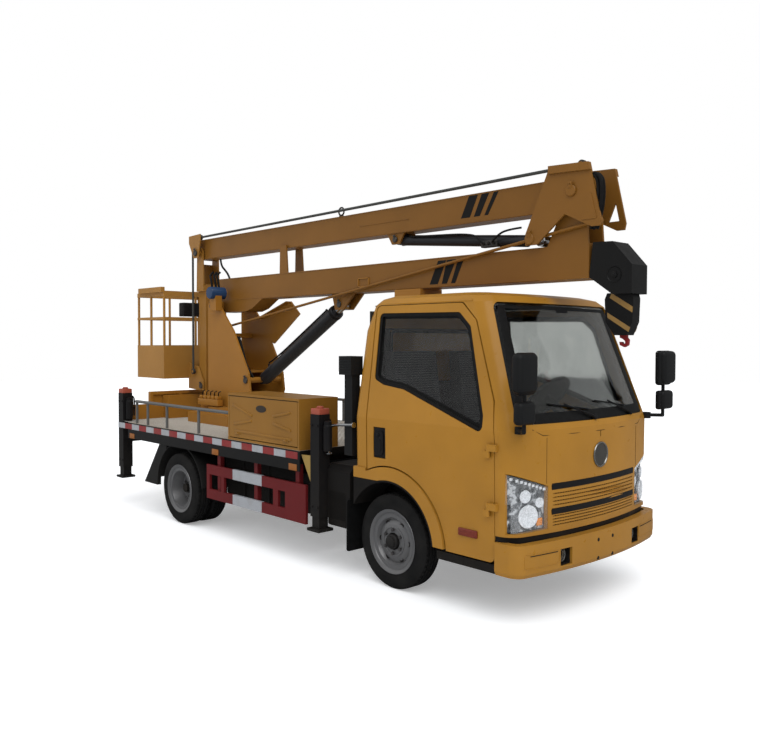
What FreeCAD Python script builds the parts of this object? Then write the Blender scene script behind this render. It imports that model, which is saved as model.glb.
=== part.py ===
import FreeCAD, Part
import math
import os
import Sketcher
from FreeCAD import Placement, Rotation, Vector

# Cherry picker truck: a folding boom with a basket on a light cab-over chassis.
# Frame: +X forward, +Y to the left side, +Z up, origin on the ground under the middle of the truck.
# Lengths are millimetres, angles degrees.

doc = FreeCAD.newDocument("cherry_picker_truck")
sheet = doc.addObject("Spreadsheet::Sheet", "Sizes")


class Size:
    """A number from the sheet, with the formula that gives it, so that sums of sizes can be bound."""

    def __init__(self, value, formula):
        self.value = float(value)
        self.formula = formula

    def join(self, sign, other, value):
        return Size(value, "(%s %s %s)" % (self.formula, sign, other.formula))

    def __add__(self, other):
        other = as_size(other)
        return self.join("+", other, self.value + other.value)

    def __sub__(self, other):
        other = as_size(other)
        return self.join("-", other, self.value - other.value)

    def __mul__(self, other):
        other = as_size(other)
        return self.join("*", other, self.value * other.value)

    def __truediv__(self, other):
        other = as_size(other)
        return self.join("/", other, self.value / other.value)

    def __neg__(self):
        return as_size(0) - self

    __radd__ = __add__
    __rmul__ = __mul__

    def __rsub__(self, other):
        return as_size(other) - self

    def __float__(self):
        return self.value


def as_size(number):
    if isinstance(number, Size):
        return number
    return Size(number, repr(float(number)))


# Driving dimensions, one row each: name, value, what it is.
DIMENSIONS = [
    # chassis and wheels
    ("wheelbase", 2950, "front axle to rear axle"),
    ("front_axle_x", 1680, "front axle from the middle of the truck"),
    ("tyre_radius", 350, "6.00-15 tyre"),
    ("tyre_width", 165, "6.00-15 tyre"),
    ("rim_radius", 209, "15-inch rim flange"),
    ("front_track", 1485, "between front tyre centres"),
    ("rear_outer_y", 831, "outer twin tyre centre"),
    ("twin_gap", 22, "between twin tyres"),
    ("rail_inner_y", 290, "chassis rail inside face"),
    ("rail_width", 60, "chassis rail flange"),
    ("rail_top", 700, "chassis rail top"),
    ("rail_depth", 160, "chassis rail height"),
    ("rail_front", 2760, "chassis rail front end"),
    ("rail_rear", -2560, "chassis rail rear end"),
    ("kingpin_y", 648, "steering axis from the centre line"),
    # deck
    ("deck_top", 930, "deck plate top"),
    ("deck_thick", 60, "deck plate and edge frame"),
    ("deck_half", 935, "deck half width"),
    ("deck_front", 715, "deck front edge"),
    ("deck_rear", -2610, "deck rear edge"),
    ("skirt_drop", 170, "deck edge profile below the plate"),
    # tool boxes
    ("box_rear", -344, "tool box rear end"),
    ("box_front", 710, "tool box front end"),
    ("box_depth", 410, "tool box depth across the truck"),
    ("box_top", 1350, "tool box lid top"),
    ("box_wall", 20, "tool box wall"),
    # outriggers
    ("leg_front_x", 900, "front outrigger legs"),
    ("leg_rear_x", -2535, "rear outrigger legs"),
    ("leg_y", 870, "outrigger leg from the centre line"),
    ("sleeve_size", 110, "outrigger sleeve outside"),
    ("leg_size", 90, "outrigger inner leg"),
    ("slide_gap", 0.6, "inner leg to sleeve"),
    ("sleeve_top", 1200, "outrigger sleeve top"),
    ("sleeve_bottom", 420, "outrigger sleeve bottom"),
    ("foot_bottom", 305, "foot underside, raised"),
    # cab
    ("cab_rear", 1300, "cab back wall"),
    ("cab_front", 2900, "front panel at the centre"),
    ("cab_half", 865, "cab half width at the belt"),
    ("cab_floor", 872, "cab floor underside"),
    ("cab_wall", 40, "cab panel and door thickness"),
    ("belt_top", 1250, "windscreen lower edge"),
    ("eaves", 2110, "roof panel lower edge"),
    ("roof_top", 2160, "roof"),
    # slewing and booms
    ("slew_x", -1600, "slewing axis"),
    ("turret_half", 225, "turret plate outside face"),
    ("turret_plate", 20, "turret plate thickness"),
    ("root_x", -1775, "lower boom root pin"),
    ("root_z", 2195, "lower boom root pin"),
    ("elbow_x", 2755, "elbow pin"),
    ("elbow_z", 2853, "elbow pin"),
    ("tip_x", -2230, "upper boom tip pin"),
    ("tip_z", 2810, "upper boom tip pin"),
    ("basket_pin_z", 1300, "basket pin under the tip pin"),
    ("lower_half", 105, "lower boom half width"),
    ("lower_depth", 240, "lower boom section height"),
    ("lower_bottom", 2255, "lower boom underside"),
    ("upper_half", 80, "upper boom half width"),
    ("upper_depth", 225, "upper boom section height"),
    ("arm_size", 150, "third arm section"),
    ("pin_radius", 30, "main pins"),
    ("pin_gap", 0.05, "running clearance of every pin"),
    ("rod_radius", 12, "levelling rod"),
    ("rod_y", 130, "levelling rods from the centre line"),
    # basket
    ("basket_front", -2500, "basket wall facing the turret"),
    ("basket_long", 678, "basket length along the truck"),
    ("basket_half", 450, "basket half width"),
    ("basket_floor", 1380, "basket floor underside"),
    ("basket_high", 1050, "basket height"),
]

for row, (name, value, note) in enumerate(DIMENSIONS, start=1):
    sheet.set("A%d" % row, name)
    sheet.set("B%d" % row, str(value))
    sheet.set("C%d" % row, note)
    sheet.setAlias("B%d" % row, name)
doc.recompute()
size = {name: Size(value, "Sizes." + name) for name, value, note in DIMENSIONS}

NODES = []


def node(item, label):
    """Give a finished piece the label that names its file."""
    item.Label = label
    NODES.append(item)
    return item


def bind(item, prop, amount):
    amount = as_size(amount)
    item.setExpression(prop, amount.formula)


def place(item, x=0, y=0, z=0):
    for axis, amount in (("x", x), ("y", y), ("z", z)):
        bind(item, "Placement.Base." + axis, amount)


def block(name, x, y, z):
    """A box between two values on each axis."""
    item = doc.addObject("Part::Box", name)
    for prop, (low, high) in (("Length", x), ("Width", y), ("Height", z)):
        bind(item, prop, as_size(high) - low)
    place(item, x[0], y[0], z[0])
    return item


TURN = {
    "X": Rotation(Vector(0, 1, 0), 90),
    "Y": Rotation(Vector(1, 0, 0), -90),
    "Z": Rotation(),
}


def rod(name, axis, start, radius, length):
    """A cylinder from a start point along X, Y or Z."""
    item = doc.addObject("Part::Cylinder", name)
    item.Placement = Placement(Vector(), TURN[axis])
    bind(item, "Radius", radius)
    bind(item, "Height", length)
    place(item, *start)
    return item


def cut(name, base, tools):
    item = doc.addObject("Part::Cut", name)
    item.Base = base
    item.Tool = tools[0] if len(tools) == 1 else group(name + "_tools", tools)
    return item


def fuse(name, shapes):
    item = doc.addObject("Part::MultiFuse", name)
    item.Shapes = shapes
    item.Refine = True
    return item


def group(name, shapes):
    """Like pieces of one body that share a node without touching."""
    item = doc.addObject("Part::Compound", name)
    item.Links = shapes
    return item


def mirrored(name, source):
    """The same piece on the other side of the truck."""
    item = doc.addObject("Part::Mirroring", name)
    item.Source = source
    item.Normal = Vector(0, 1, 0)
    return item


PLANE = {"XY": "XY_Plane", "XZ": "XZ_Plane", "YZ": "YZ_Plane"}


def origin_plane(body, plane):
    for feature in body.Origin.OriginFeatures:
        if feature.Role == PLANE[plane]:
            return feature


def sketch_on(body, plane, name):
    sketch = body.newObject("Sketcher::SketchObject", name)
    sketch.AttachmentSupport = [(origin_plane(body, plane), "")]
    sketch.MapMode = "FlatFace"
    return sketch


def fix_point(sketch, geometry, end, x, y):
    """Tie one end of a line, or a circle's centre, to its sizes."""
    for kind, amount in (("DistanceX", x), ("DistanceY", y)):
        amount = as_size(amount)
        if abs(amount.value) < 1e-9 and amount.formula in ("0.0", "(0.0 * 0.0)"):
            other = -2 if kind == "DistanceX" else -1
            sketch.addConstraint(Sketcher.Constraint("PointOnObject", geometry, end, other))
            continue
        index = sketch.addConstraint(
            Sketcher.Constraint(kind, -1, 1, geometry, end, amount.value))
        sketch.setExpression("Constraints[%d]" % index, amount.formula)


def outline(sketch, points):
    """A closed outline of straight sides, each corner tied to its sizes."""
    first = sketch.GeometryCount
    flat = [Vector(float(as_size(x)), float(as_size(y)), 0) for x, y in points]
    for index, start in enumerate(flat):
        sketch.addGeometry(Part.LineSegment(start, flat[(index + 1) % len(flat)]), False)
    for index in range(len(points)):
        after = first + (index + 1) % len(points)
        sketch.addConstraint(Sketcher.Constraint("Coincident", first + index, 2, after, 1))
    for index, (x, y) in enumerate(points):
        fix_point(sketch, first + index, 1, x, y)


def circle(sketch, x, y, radius):
    radius = as_size(radius)
    centre = Vector(float(as_size(x)), float(as_size(y)), 0)
    index = sketch.addGeometry(Part.Circle(centre, Vector(0, 0, 1), radius.value), False)
    fix_point(sketch, index, 3, x, y)
    row = sketch.addConstraint(Sketcher.Constraint("Radius", index, radius.value))
    sketch.setExpression("Constraints[%d]" % row, radius.formula)


def plate(name, plane, points, low, high, holes=()):
    """A flat piece: an outline with round holes (x, y, radius), padded from low to high.

    XY is padded along Z, YZ along X and XZ along Y.
    """
    body = doc.addObject("PartDesign::Body", name)
    sketch = sketch_on(body, plane, name + "_outline")
    outline(sketch, points)
    for x, y, radius in holes:
        circle(sketch, x, y, radius)
    pad = body.newObject("PartDesign::Pad", name + "_pad")
    pad.Profile = sketch
    bind(pad, "Length", as_size(high) - low)
    if plane == "XZ":
        place(body, y=high)
    elif plane == "YZ":
        place(body, x=low)
    else:
        place(body, z=low)
    return body


def turned(name, points):
    """A piece turned about Y: (y, radius) points, revolved about the Y axis of its own body."""
    body = doc.addObject("PartDesign::Body", name)
    sketch = sketch_on(body, "YZ", name + "_section")
    outline(sketch, points)
    spin = body.newObject("PartDesign::Revolution", name + "_turn")
    spin.Profile = sketch
    spin.ReferenceAxis = (sketch, ["H_Axis"])
    spin.Angle = 360
    return body


def num(name):
    return size[name].value


# ---------------------------------------------------------------- places worked out from the sizes
front_x = size["front_axle_x"]
rear_x = front_x - size["wheelbase"]
hub_z = size["tyre_radius"]
rail_bottom = size["rail_top"] - size["rail_depth"]
rail_outer = size["rail_inner_y"] + size["rail_width"]
deck_under = size["deck_top"] - size["deck_thick"]
rear_inner_y = size["rear_outer_y"] - size["tyre_width"] - size["twin_gap"]
front_wheel_y = size["front_track"] / 2
pin = size["pin_radius"]
bore = pin + size["pin_gap"]
small_pin = 16
small_bore = as_size(small_pin) + size["pin_gap"]

# The levelling links carry the rods at fixed offsets from their main pins.
LOW_ROD = (191, -219)       # lower rod pins from the root pin and the elbow pin
UP_ROD = (60, 175)          # upper rod pins from the elbow pin and the tip pin
THIRD_ROD = (-115, 164)     # third rod pins from the tip pin and the basket pin
RAM_EYE = (-347, -299)      # upper cylinder's rod eye from the elbow pin
LIFT_FOOT = (-1120, 1410)   # lift cylinder foot pin
LIFT_EYE = (180, 2160)      # lift cylinder eye pin on the lower boom
UPPER_FOOT = (934, 2690)    # upper cylinder foot pin on the upper boom

# ---------------------------------------------------------------- chassis
def chassis_frame():
    """Two rails with cross-members between them, welded as one ladder."""
    pieces = []
    for side, sign in (("left", 1), ("right", -1)):
        low, high = size["rail_inner_y"], rail_outer
        across = (low, high) if sign > 0 else (-high, -low)
        pieces.append(block("rail_" + side, (size["rail_rear"], size["rail_front"]), across,
                            (rail_bottom, size["rail_top"])))
    for index, x in enumerate((2690, front_x - 620, 560, -60, -700, -2150, -2500)):
        pieces.append(block("cross_member_%d" % index, (x, x + 60),
                            (-size["rail_inner_y"], size["rail_inner_y"]),
                            (rail_bottom + 30, size["rail_top"] - 20)))
    return fuse("chassis_ladder", pieces)


def leaf_springs(tag, x, half_length, y):
    """A leaf pack under each rail, from its front shackle to its rear one."""
    packs = []
    for side, sign in (("left", 1), ("right", -1)):
        top = rail_bottom
        leaf = [(x - half_length, top), (x - half_length, top - 60), (x - 90, top - 150),
                (x + 90, top - 150), (x + half_length, top - 60), (x + half_length, top),
                (x + half_length - 40, top), (x + half_length - 40, top - 45),
                (x + 90, top - 110), (x - 90, top - 110), (x - half_length + 40, top - 45),
                (x - half_length + 40, top)]
        packs.append(plate("%s_spring_%s" % (tag, side), "XZ", leaf, y * sign - 30, y * sign + 30))
    return packs


def front_axle():
    """A forged beam with an upright boss at each end for the kingpin."""
    y = size["kingpin_y"]
    beam = block("axle_beam", (front_x - 35, front_x + 35), (-y, y), (hub_z - 30, hub_z + 40))
    pieces = [beam]
    holes = []
    for side, sign in (("left", 1), ("right", -1)):
        pieces.append(rod("kingpin_boss_" + side, "Z", (front_x, y * sign, hub_z - 60), 38, 120))
        holes.append(rod("kingpin_bore_" + side, "Z", (front_x, y * sign, hub_z - 70), small_bore, 140))
    pieces += leaf_springs("front", front_x, 560, size["rail_inner_y"] + 30)
    return cut("front_axle_beam", fuse("front_axle_raw", pieces), holes)


def rear_axle():
    """A banjo housing with the differential in the middle and a stub for each pair of wheels."""
    reach = rear_inner_y - size["tyre_width"] / 2 + 60
    tube = rod("axle_tube", "Y", (rear_x, -reach, hub_z), 55, reach * 2)
    banjo = doc.addObject("Part::Sphere", "differential")
    bind(banjo, "Radius", 150)
    place(banjo, rear_x, 0, hub_z)
    nose = rod("pinion_nose", "X", (rear_x, 0, hub_z + 20), 60, 260)
    stubs = []
    for side, sign in (("left", 1), ("right", -1)):
        start = (rear_x, reach - 1 if sign > 0 else -size["rear_outer_y"] - 20, hub_z)
        stubs.append(rod("stub_" + side, "Y", start, 41.95, size["rear_outer_y"] + 20 - reach + 1))
    pieces = [tube, banjo, nose] + stubs
    pieces += leaf_springs("rear", rear_x, 620, size["rail_inner_y"] + 30)
    return fuse("rear_axle_housing", pieces)


node(chassis_frame(), "chassis_frame")
node(front_axle(), "front_axle")

engine_front = size["cab_front"] - 300
engine = block("engine_core", (front_x + 40, engine_front - 40), (-230, 230), (430, 860))
gearbox = block("gearbox_core", (front_x - 560, front_x + 41), (-130, 130), (400, 690))
node(fuse("engine_and_gearbox", [engine, gearbox]), "engine_block")

shaft_front = front_x - 560
shaft_rear = rear_x + 260
propshaft = rod("propshaft_tube", "X", (shaft_rear, 0, hub_z + 40), 38, shaft_front - shaft_rear)
node(fuse("rear_axle_and_shaft", [rear_axle(), propshaft]), "rear_axle")

tank = [(430, 420), (470, 380), (830, 380), (830, 640), (790, 680), (430, 680)]
tank_parts = [plate("fuel_tank_shell", "YZ", tank, -790, -150)]
tank_parts += [block("tank_bracket_%d" % i, (x, x + 50), (rail_outer, 432), (500, 660))
               for i, x in enumerate((-700, -290))]
case = [(-850, 420), (-850, 800), (-800, 850), (-560, 850), (-560, 420)]
battery = plate("battery_case", "YZ", case, 968, 1240)
battery_bracket = block("battery_bracket", (1000, 1200), (-565, -rail_outer), (600, 680))
node(group("tank_and_battery", [fuse("fuel_tank_body", tank_parts),
                                fuse("battery_box", [battery, battery_bracket])]), "fuel_tank")


# ---------------------------------------------------------------- wheels
def tyre_section(tag):
    """The outline of one tyre: straight beads, bulged walls, a flat tread with cut shoulders."""
    half = size["tyre_width"] / 2
    out, rim = size["tyre_radius"], size["rim_radius"] - 18.7
    return turned(tag, [(-half + 25.3, rim), (-half + 25.3, rim + 21), (-half + 4, rim + 45), (-half, rim + 95),
                        (-half + 10, out - 14), (-half + 30, out), (half - 30, out),
                        (half - 10, out - 14), (half, rim + 95), (half - 4, rim + 45),
                        (half - 25.3, rim + 21), (half - 25.3, rim), (half - 40, rim), (half - 40, out - 45),
                        (-half + 40, out - 45), (-half + 40, rim)])


def steel_rim(tag, dish):
    """A pressed rim with its disc set in by the dish, its hub and its centre bore."""
    half = size["tyre_width"] / 2 - 15
    edge, well = size["rim_radius"], size["rim_radius"] - 19
    disc = dish
    return turned(tag, [(-half, edge), (-half + 10, edge), (-half + 10, well), (half - 10, well),
                        (half - 10, edge), (half, edge), (half, well - 14), (disc + 12, well - 30),
                        (disc + 12, 60), (disc + 30, 60), (disc + 30, 42), (disc - 4, 42),
                        (disc - 4, well - 44), (-half, well - 14)])


def placed(body, x, y, z):
    place(body, x, y, z)
    return body


def wheel_place(body, sign, y):
    """Right-hand wheels face -Y as drawn; left-hand ones are turned half round."""
    body.Placement = Placement(Vector(), Rotation(Vector(0, 0, 1), 180 if sign > 0 else 0))
    return placed(body, front_x if body.Name.startswith("front") else rear_x, y, hub_z)


for side, sign in (("right", -1), ("left", 1)):
    tyre = tyre_section("front_tyre_%s_body" % side)
    node(wheel_place(tyre, sign, front_wheel_y * sign), "front_tyre_" + side)
    rim = steel_rim("front_rim_%s_body" % side, -18)
    node(wheel_place(rim, sign, front_wheel_y * sign), "front_rim_" + side)
    tyres, rims = [], []
    for place_name, y, dish in (("outer", size["rear_outer_y"], 40), ("inner", rear_inner_y, -52)):
        tag = "%s_%s" % (side, place_name)
        tyres.append(wheel_place(tyre_section("rear_tyre_" + tag), sign, y * sign))
        rims.append(wheel_place(steel_rim("rear_rim_" + tag, dish), sign, y * sign))
    node(group("rear_tyres_%s_pair" % side, tyres), "rear_tyres_" + side)
    node(group("rear_rims_%s_pair" % side, rims), "rear_rims_" + side)


def knuckle(side, sign):
    """A fork over the axle's boss, with its kingpin and the spindle of the wheel."""
    y = size["kingpin_y"] * sign
    reach = front_wheel_y - size["kingpin_y"] - 10
    king = rod("kingpin_" + side, "Z", (front_x, y, hub_z - 95), small_pin, 190)
    top = block("fork_top_" + side, (front_x - 38, front_x + 38), (y - 38, y + 38), (hub_z + 61, hub_z + 95))
    low = block("fork_low_" + side, (front_x - 38, front_x + 38), (y - 38, y + 38), (hub_z - 95, hub_z - 61))
    edge = (y + 39, y + 60) if sign > 0 else (y - 60, y - 39)
    near = (y + 30, y + 60) if sign > 0 else (y - 60, y - 30)
    back = block("fork_back_" + side, (front_x - 38, front_x + 38), edge, (hub_z - 95, hub_z + 95))
    shoulders = [block("fork_edge_%s_%d" % (side, i), (front_x - 38, front_x + 38), near, z)
                 for i, z in enumerate(((hub_z + 61, hub_z + 95), (hub_z - 95, hub_z - 61)))]
    start = (front_x, y + 50 if sign > 0 else y - 50 - reach, hub_z)
    spindle = rod("spindle_" + side, "Y", start, 41.95, reach)
    return fuse("knuckle_body_" + side, [king, top, low, back, spindle] + shoulders)


node(knuckle("right", -1), "knuckle_right")
node(knuckle("left", 1), "knuckle_left")


# ---------------------------------------------------------------- cab
# One row for each level of the cab's skin, all for the outside face:
# height, half width, rear face, rear corner radius, where the side ends, front corner x and y, nose x
cab_front, cab_rear, cab_half = num("cab_front"), num("cab_rear"), num("cab_half")
belt, eaves, roof_top = num("belt_top"), num("eaves"), num("roof_top")
CAB_LEVELS = [
    (380, cab_half - 15, cab_rear, 60, cab_front - 210, cab_front - 85, 735, cab_front),
    (belt, cab_half, cab_rear, 60, cab_front - 210, cab_front - 85, 735, cab_front),
    (eaves - 210, cab_half - 85, cab_rear + 4, 95, cab_front - 442, cab_front - 325, 684, cab_front - 259),
    (eaves - 20, cab_half - 110, cab_rear + 72, 100, cab_front - 510, cab_front - 395, 668, cab_front - 335),
    (roof_top - 25, cab_half - 140, cab_rear + 120, 105, cab_front - 575, cab_front - 450, 640,
     cab_front - 388),
    (roof_top, cab_half - 205, cab_rear + 180, 110, cab_front - 670, cab_front - 540, 560,
     cab_front - 485),
]


def cab_level(level, inset):
    """One level of the skin as a closed wire of sides, corner arcs and a bowed front."""
    z, half, back, corner, side_end, nose_x, nose_y, nose = level
    half, back, side_end, nose_x, nose_y, nose = (
        half - inset, back + inset, side_end - inset * 0.3, nose_x - inset, nose_y - inset * 0.3,
        nose - inset)
    edges = []
    turn = corner * (1 - math.sqrt(0.5))
    bow_x = side_end + (nose_x - side_end) * 0.62
    bow_y = half - (half - nose_y) * 0.30
    ends = {}
    for sign in (-1, 1):
        ends[sign] = {
            "back": Vector(back, sign * (half - corner), z),
            "turn": Vector(back + turn, sign * (half - turn), z),
            "rear": Vector(back + corner, sign * half, z),
            "side": Vector(side_end, sign * half, z),
            "bow": Vector(bow_x, sign * bow_y, z),
            "nose": Vector(nose_x, sign * nose_y, z),
        }
    right, left = ends[-1], ends[1]
    edges.append(Part.makeLine(left["back"], right["back"]))
    edges.append(Part.Arc(right["back"], right["turn"], right["rear"]).toShape())
    edges.append(Part.makeLine(right["rear"], right["side"]))
    edges.append(Part.Arc(right["side"], right["bow"], right["nose"]).toShape())
    edges.append(Part.Arc(right["nose"], Vector(nose, 0, z), left["nose"]).toShape())
    edges.append(Part.Arc(left["nose"], left["bow"], left["side"]).toShape())
    edges.append(Part.makeLine(left["side"], left["rear"]))
    edges.append(Part.Arc(left["rear"], left["turn"], left["back"]).toShape())
    return Part.Wire(edges)


def cab_skin(inset, cap):
    """The closed volume inside the cab's skin, set in by a wall, its roof lowered by the cap."""
    levels = [list(level) for level in CAB_LEVELS]
    for level in levels[-2:]:
        level[0] -= cap
    stack = [cab_level(level, inset) for level in levels]
    solids = [Part.makeLoft([low, high], True, True) for low, high in zip(stack, stack[1:])]
    whole = solids[0]
    for solid in solids[1:]:
        whole = whole.fuse(solid)
    return whole.removeSplitter()


def rounded_face(corners, radius):
    """A flat face whose straight sides meet in arcs of one radius."""
    arcs = []
    for index, corner in enumerate(corners):
        back = (corners[index - 1] - corner).normalize()
        ahead = (corners[(index + 1) % len(corners)] - corner).normalize()
        half = back.getAngle(ahead) / 2
        middle = (back + ahead).normalize()
        reach = radius / math.tan(half)
        arcs.append(Part.Arc(corner + back * reach, corner + middle * (radius / math.sin(half) - radius),
                             corner + ahead * reach).toShape())
    edges = []
    for arc, following in zip(arcs, arcs[1:] + arcs[:1]):
        edges += [arc, Part.makeLine(arc.Vertexes[-1].Point, following.Vertexes[0].Point)]
    return Part.Face(Part.Wire(edges))


def prism(points, low, high, radius=0):
    """A side-view outline (x, z) as a prism across the truck, from low to high y."""
    corners = [Vector(float(as_size(x)), low, float(as_size(z))) for x, z in points]
    if radius:
        face = rounded_face(corners, radius)
    else:
        face = Part.Face(Part.makePolygon(corners + corners[:1]))
    return face.extrude(Vector(0, high - low, 0))


def cube(x, y, z):
    """A plain box between two values on each axis."""
    return Part.makeBox(x[1] - x[0], y[1] - y[0], z[1] - z[0], Vector(x[0], y[0], z[0]))


def span(sign, near, far):
    """The y values from near to far on one side of the truck, lower value first."""
    return (near, far) if sign > 0 else (-far, -near)


wall = num("cab_wall")
floor_z = num("cab_floor")
sill = belt + 10             # where the front panel meets the windscreen frame

DOOR_GAP = 5
DOOR_REAR, DOOR_FRONT = 1450, 2660
DOOR_SILL, DOOR_TOP = 395, 2085
DOOR_CORNER = 45
ARCH_RADIUS = 560            # where the door's lower edge follows the wheel
DOOR_HINGE = (2623, 879)      # upright hinge axis of the right and left doors
HINGE_Z = (740, 1120)
SIDE_WINDOW = [(1492, 1540), (1486, 2030), (2275, 2022), (2385, 1925), (2560, 1340), (2560, 1222),
               (1805, 1475), (1590, 1500)]
SCREEN_LOW, SCREEN_HIGH = belt + 38, eaves - 22
SCREEN_HALF = (788, 690)      # half width of the windscreen opening at its bottom and top


def door_outline(grow):
    """Side view of a door, each edge moved out by grow; the ends get a wider gap to swing in."""
    slope = grow * 2.2
    return [(DOOR_REAR - slope, 850 - grow), (DOOR_REAR - slope, DOOR_TOP + grow),
            (2290 + slope, DOOR_TOP + grow), (2425 + slope, 1965), (2632 + slope, 1436),
            (DOOR_FRONT + grow, 1190), (DOOR_FRONT + grow, DOOR_SILL - grow), (2225 - grow, DOOR_SILL - grow)]


def door_space(grow, low, high):
    return prism(door_outline(grow), low, high, DOOR_CORNER + grow)


def arch(radius):
    """The round of a front wheel arch, right across the truck."""
    start = Vector(num("front_axle_x"), -1000, num("tyre_radius"))
    return Part.makeCylinder(radius, 2000, start, Vector(0, 1, 0))


outer_skin = cab_skin(0, 0)
inner_skin = cab_skin(wall, wall)
walls = outer_skin.cut(inner_skin)


def door(side, sign):
    """A door: the cab's side wall inside the door seam, with its window cut through."""
    low, high = span(sign, 640, 1000)
    panel = walls.common(door_space(0, low, high))
    panel = panel.cut(arch(ARCH_RADIUS))
    panel = panel.cut(prism(SIDE_WINDOW, low, high, 38))
    pocket = cube((1520, 1648), (sign * 853 - 12, sign * 853 + 12), (960, 1188))
    pieces = []
    for z in HINGE_Z:
        pin_start = Vector(DOOR_HINGE[0], sign * DOOR_HINGE[1], z - 44)
        pieces.append(Part.makeCylinder(13, 43.7, pin_start))
        pieces.append(Part.makeCylinder(7, 86, pin_start))
        pieces.append(cube((DOOR_HINGE[0] - 30, DOOR_HINGE[0]), span(sign, 835, 890), (z - 44, z - 0.3)))
    return panel.cut(pocket).fuse(pieces)


def hinge_straps(sign):
    """The fixed halves of a door's hinges, bored for the pins of the door."""
    straps = []
    for z in HINGE_Z:
        start = Vector(DOOR_HINGE[0], sign * DOOR_HINGE[1], z)
        strap = Part.makeCylinder(13, 45, start)
        strap = strap.fuse(cube((DOOR_HINGE[0], DOOR_HINGE[0] + 70), span(sign, 868, 889), (z, z + 45)))
        strap = strap.fuse(cube((DOOR_FRONT + 10, DOOR_HINGE[0] + 70), span(sign, 838, 889), (z, z + 45)))
        straps.append(strap.cut(Part.makeCylinder(7 + num("pin_gap"), 60, start + Vector(0, 0, -5))))
    return straps


def screen_space(clear):
    """The space that the windscreen opening is cut from, or that its glass fills with a clearance."""
    low, high = SCREEN_LOW + clear, SCREEN_HIGH - clear
    wide, narrow = SCREEN_HALF[0] - clear, SCREEN_HALF[1] - clear
    corners = [Vector(2250, y, z) for y, z in ((-wide, low), (wide, low), (narrow, high), (-narrow, high))]
    return rounded_face(corners, 55 - clear).extrude(Vector(750, 0, 0))


def cab_piece(region, holes=()):
    """The part of the cab's walls inside a region, less the door openings and any holes."""
    piece = walls.common(region)
    for sign in (-1, 1):
        piece = piece.cut(door_space(DOOR_GAP, *span(sign, 600, 1000)))
    for hole in holes:
        piece = piece.cut(hole)
    return piece


roof_region = cube((1200, 3000), (-1000, 1000), (eaves, 2300))
back_region = cube((1200, 1700), (-1000, 1000), (floor_z, eaves))
pillar_region = cube((1700, 3000), (-1000, 1000), (sill, eaves))
nose_region = cube((2560, 3000), (-1000, 1000), (575, sill))
rear_window_corners = [Vector(1200, y, z) for y, z in ((-520, 1480), (520, 1480), (520, 1900), (-520, 1900))]
rear_window = rounded_face(rear_window_corners, 40).extrude(Vector(200, 0, 0))


def largest(shape):
    """The main solid of a cut piece, without the crumbs that a seam leaves."""
    return max(shape.Solids, key=lambda solid: solid.Volume)


def part_feature(name, shape):
    item = doc.addObject("Part::Feature", name)
    item.Shape = shape
    return item


roof = cab_piece(roof_region)
node(part_feature("cab_roof_panel", largest(roof)), "cab_roof")
back = cab_piece(back_region, [rear_window])
node(part_feature("cab_back_panel", largest(back)), "cab_back")
pillars = cab_piece(pillar_region, [screen_space(0)])
node(part_feature("windscreen_frame", largest(pillars)), "windscreen_frame")
for side, sign in (("right", -1), ("left", 1)):
    node(part_feature("door_panel_" + side, largest(door(side, sign))), "door_" + side)



def floor_plate():
    """A plate inside the walls, narrower between the doors, on four mounts over the rails."""
    slab = cab_skin(wall + 0.3, wall).common(cube((1200, 3000), (-1000, 1000), (floor_z, floor_z + 40)))
    for sign in (-1, 1):
        slab = slab.cut(cube((1430, DOOR_FRONT + 30), span(sign, 790, 1000), (800, 1000)))
    mounts = [cube((x, x + 80), (y, y + 60), (num("rail_top"), floor_z + 1))
              for x in (1400, 2560) for y in (-350, 290)]
    return slab.fuse(mounts).removeSplitter()


FLARE_RADIUS, LINER_RADIUS, ROOM_RADIUS = 550, 455, 440
FLARE_REAR_Z = 790            # underside of the flare behind the wheel


def wheel_ring(radius, y):
    start = Vector(num("front_axle_x"), y[0], num("tyre_radius"))
    return Part.makeCylinder(radius, y[1] - y[0], start, Vector(0, 1, 0))


def flare(sign):
    """The painted lip round a front wheel, level with the cab's side, as far back as its rear wall."""
    y = span(sign, 826, 868)
    lip = wheel_ring(FLARE_RADIUS, y)
    lip = lip.fuse([cube((1302, 1435), y, (FLARE_REAR_Z, floor_z - 0.3)),
                    cube((1435, num("front_axle_x")), y, (FLARE_REAR_Z, 849.7))])
    lip = lip.cut(wheel_ring(LINER_RADIUS, (-1000, 1000)))
    lip = lip.cut(cube((1000, 1564), (-1000, 1000), (0, FLARE_REAR_Z)))
    return largest(lip.common(cube((1302, 2400), (-1000, 1000), (405, 1000))).removeSplitter())


def liner(sign):
    """The black liner inside the flare, the flap behind the wheel and the entry step ahead of it."""
    y = span(sign, 600, 866)
    tube = wheel_ring(LINER_RADIUS - 0.3, y)
    tube = tube.fuse([cube((1302, 1564), span(sign, 826, 866), (603, FLARE_REAR_Z - 0.3)),
                      cube((1302, 1345), y, (430, FLARE_REAR_Z - 0.3))])
    step = cube((2150, 2655), span(sign, 560, 845), (325, 383))
    step = step.fuse([cube((2150, 2215), span(sign, 560, 825.7), (325, 470)),
                      cube((2150, 2215), span(sign, 560, 600), (325, floor_z - 0.3)),
                      cube((2100, 2200), span(sign, 600, 825.7), (405, 470))])
    tube = tube.common(cube((1302, 2400), (-1000, 1000), (405, 1000)))
    return largest(tube.fuse(step).cut(wheel_ring(ROOM_RADIUS, (-1000, 1000))).removeSplitter())


node(part_feature("cab_floor_plate", Part.makeCompound([floor_plate(), liner(-1), liner(1)])), "cab_floor")
node(part_feature("wheel_arches", Part.makeCompound([flare(-1), flare(1)])), "wheel_arches")

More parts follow.
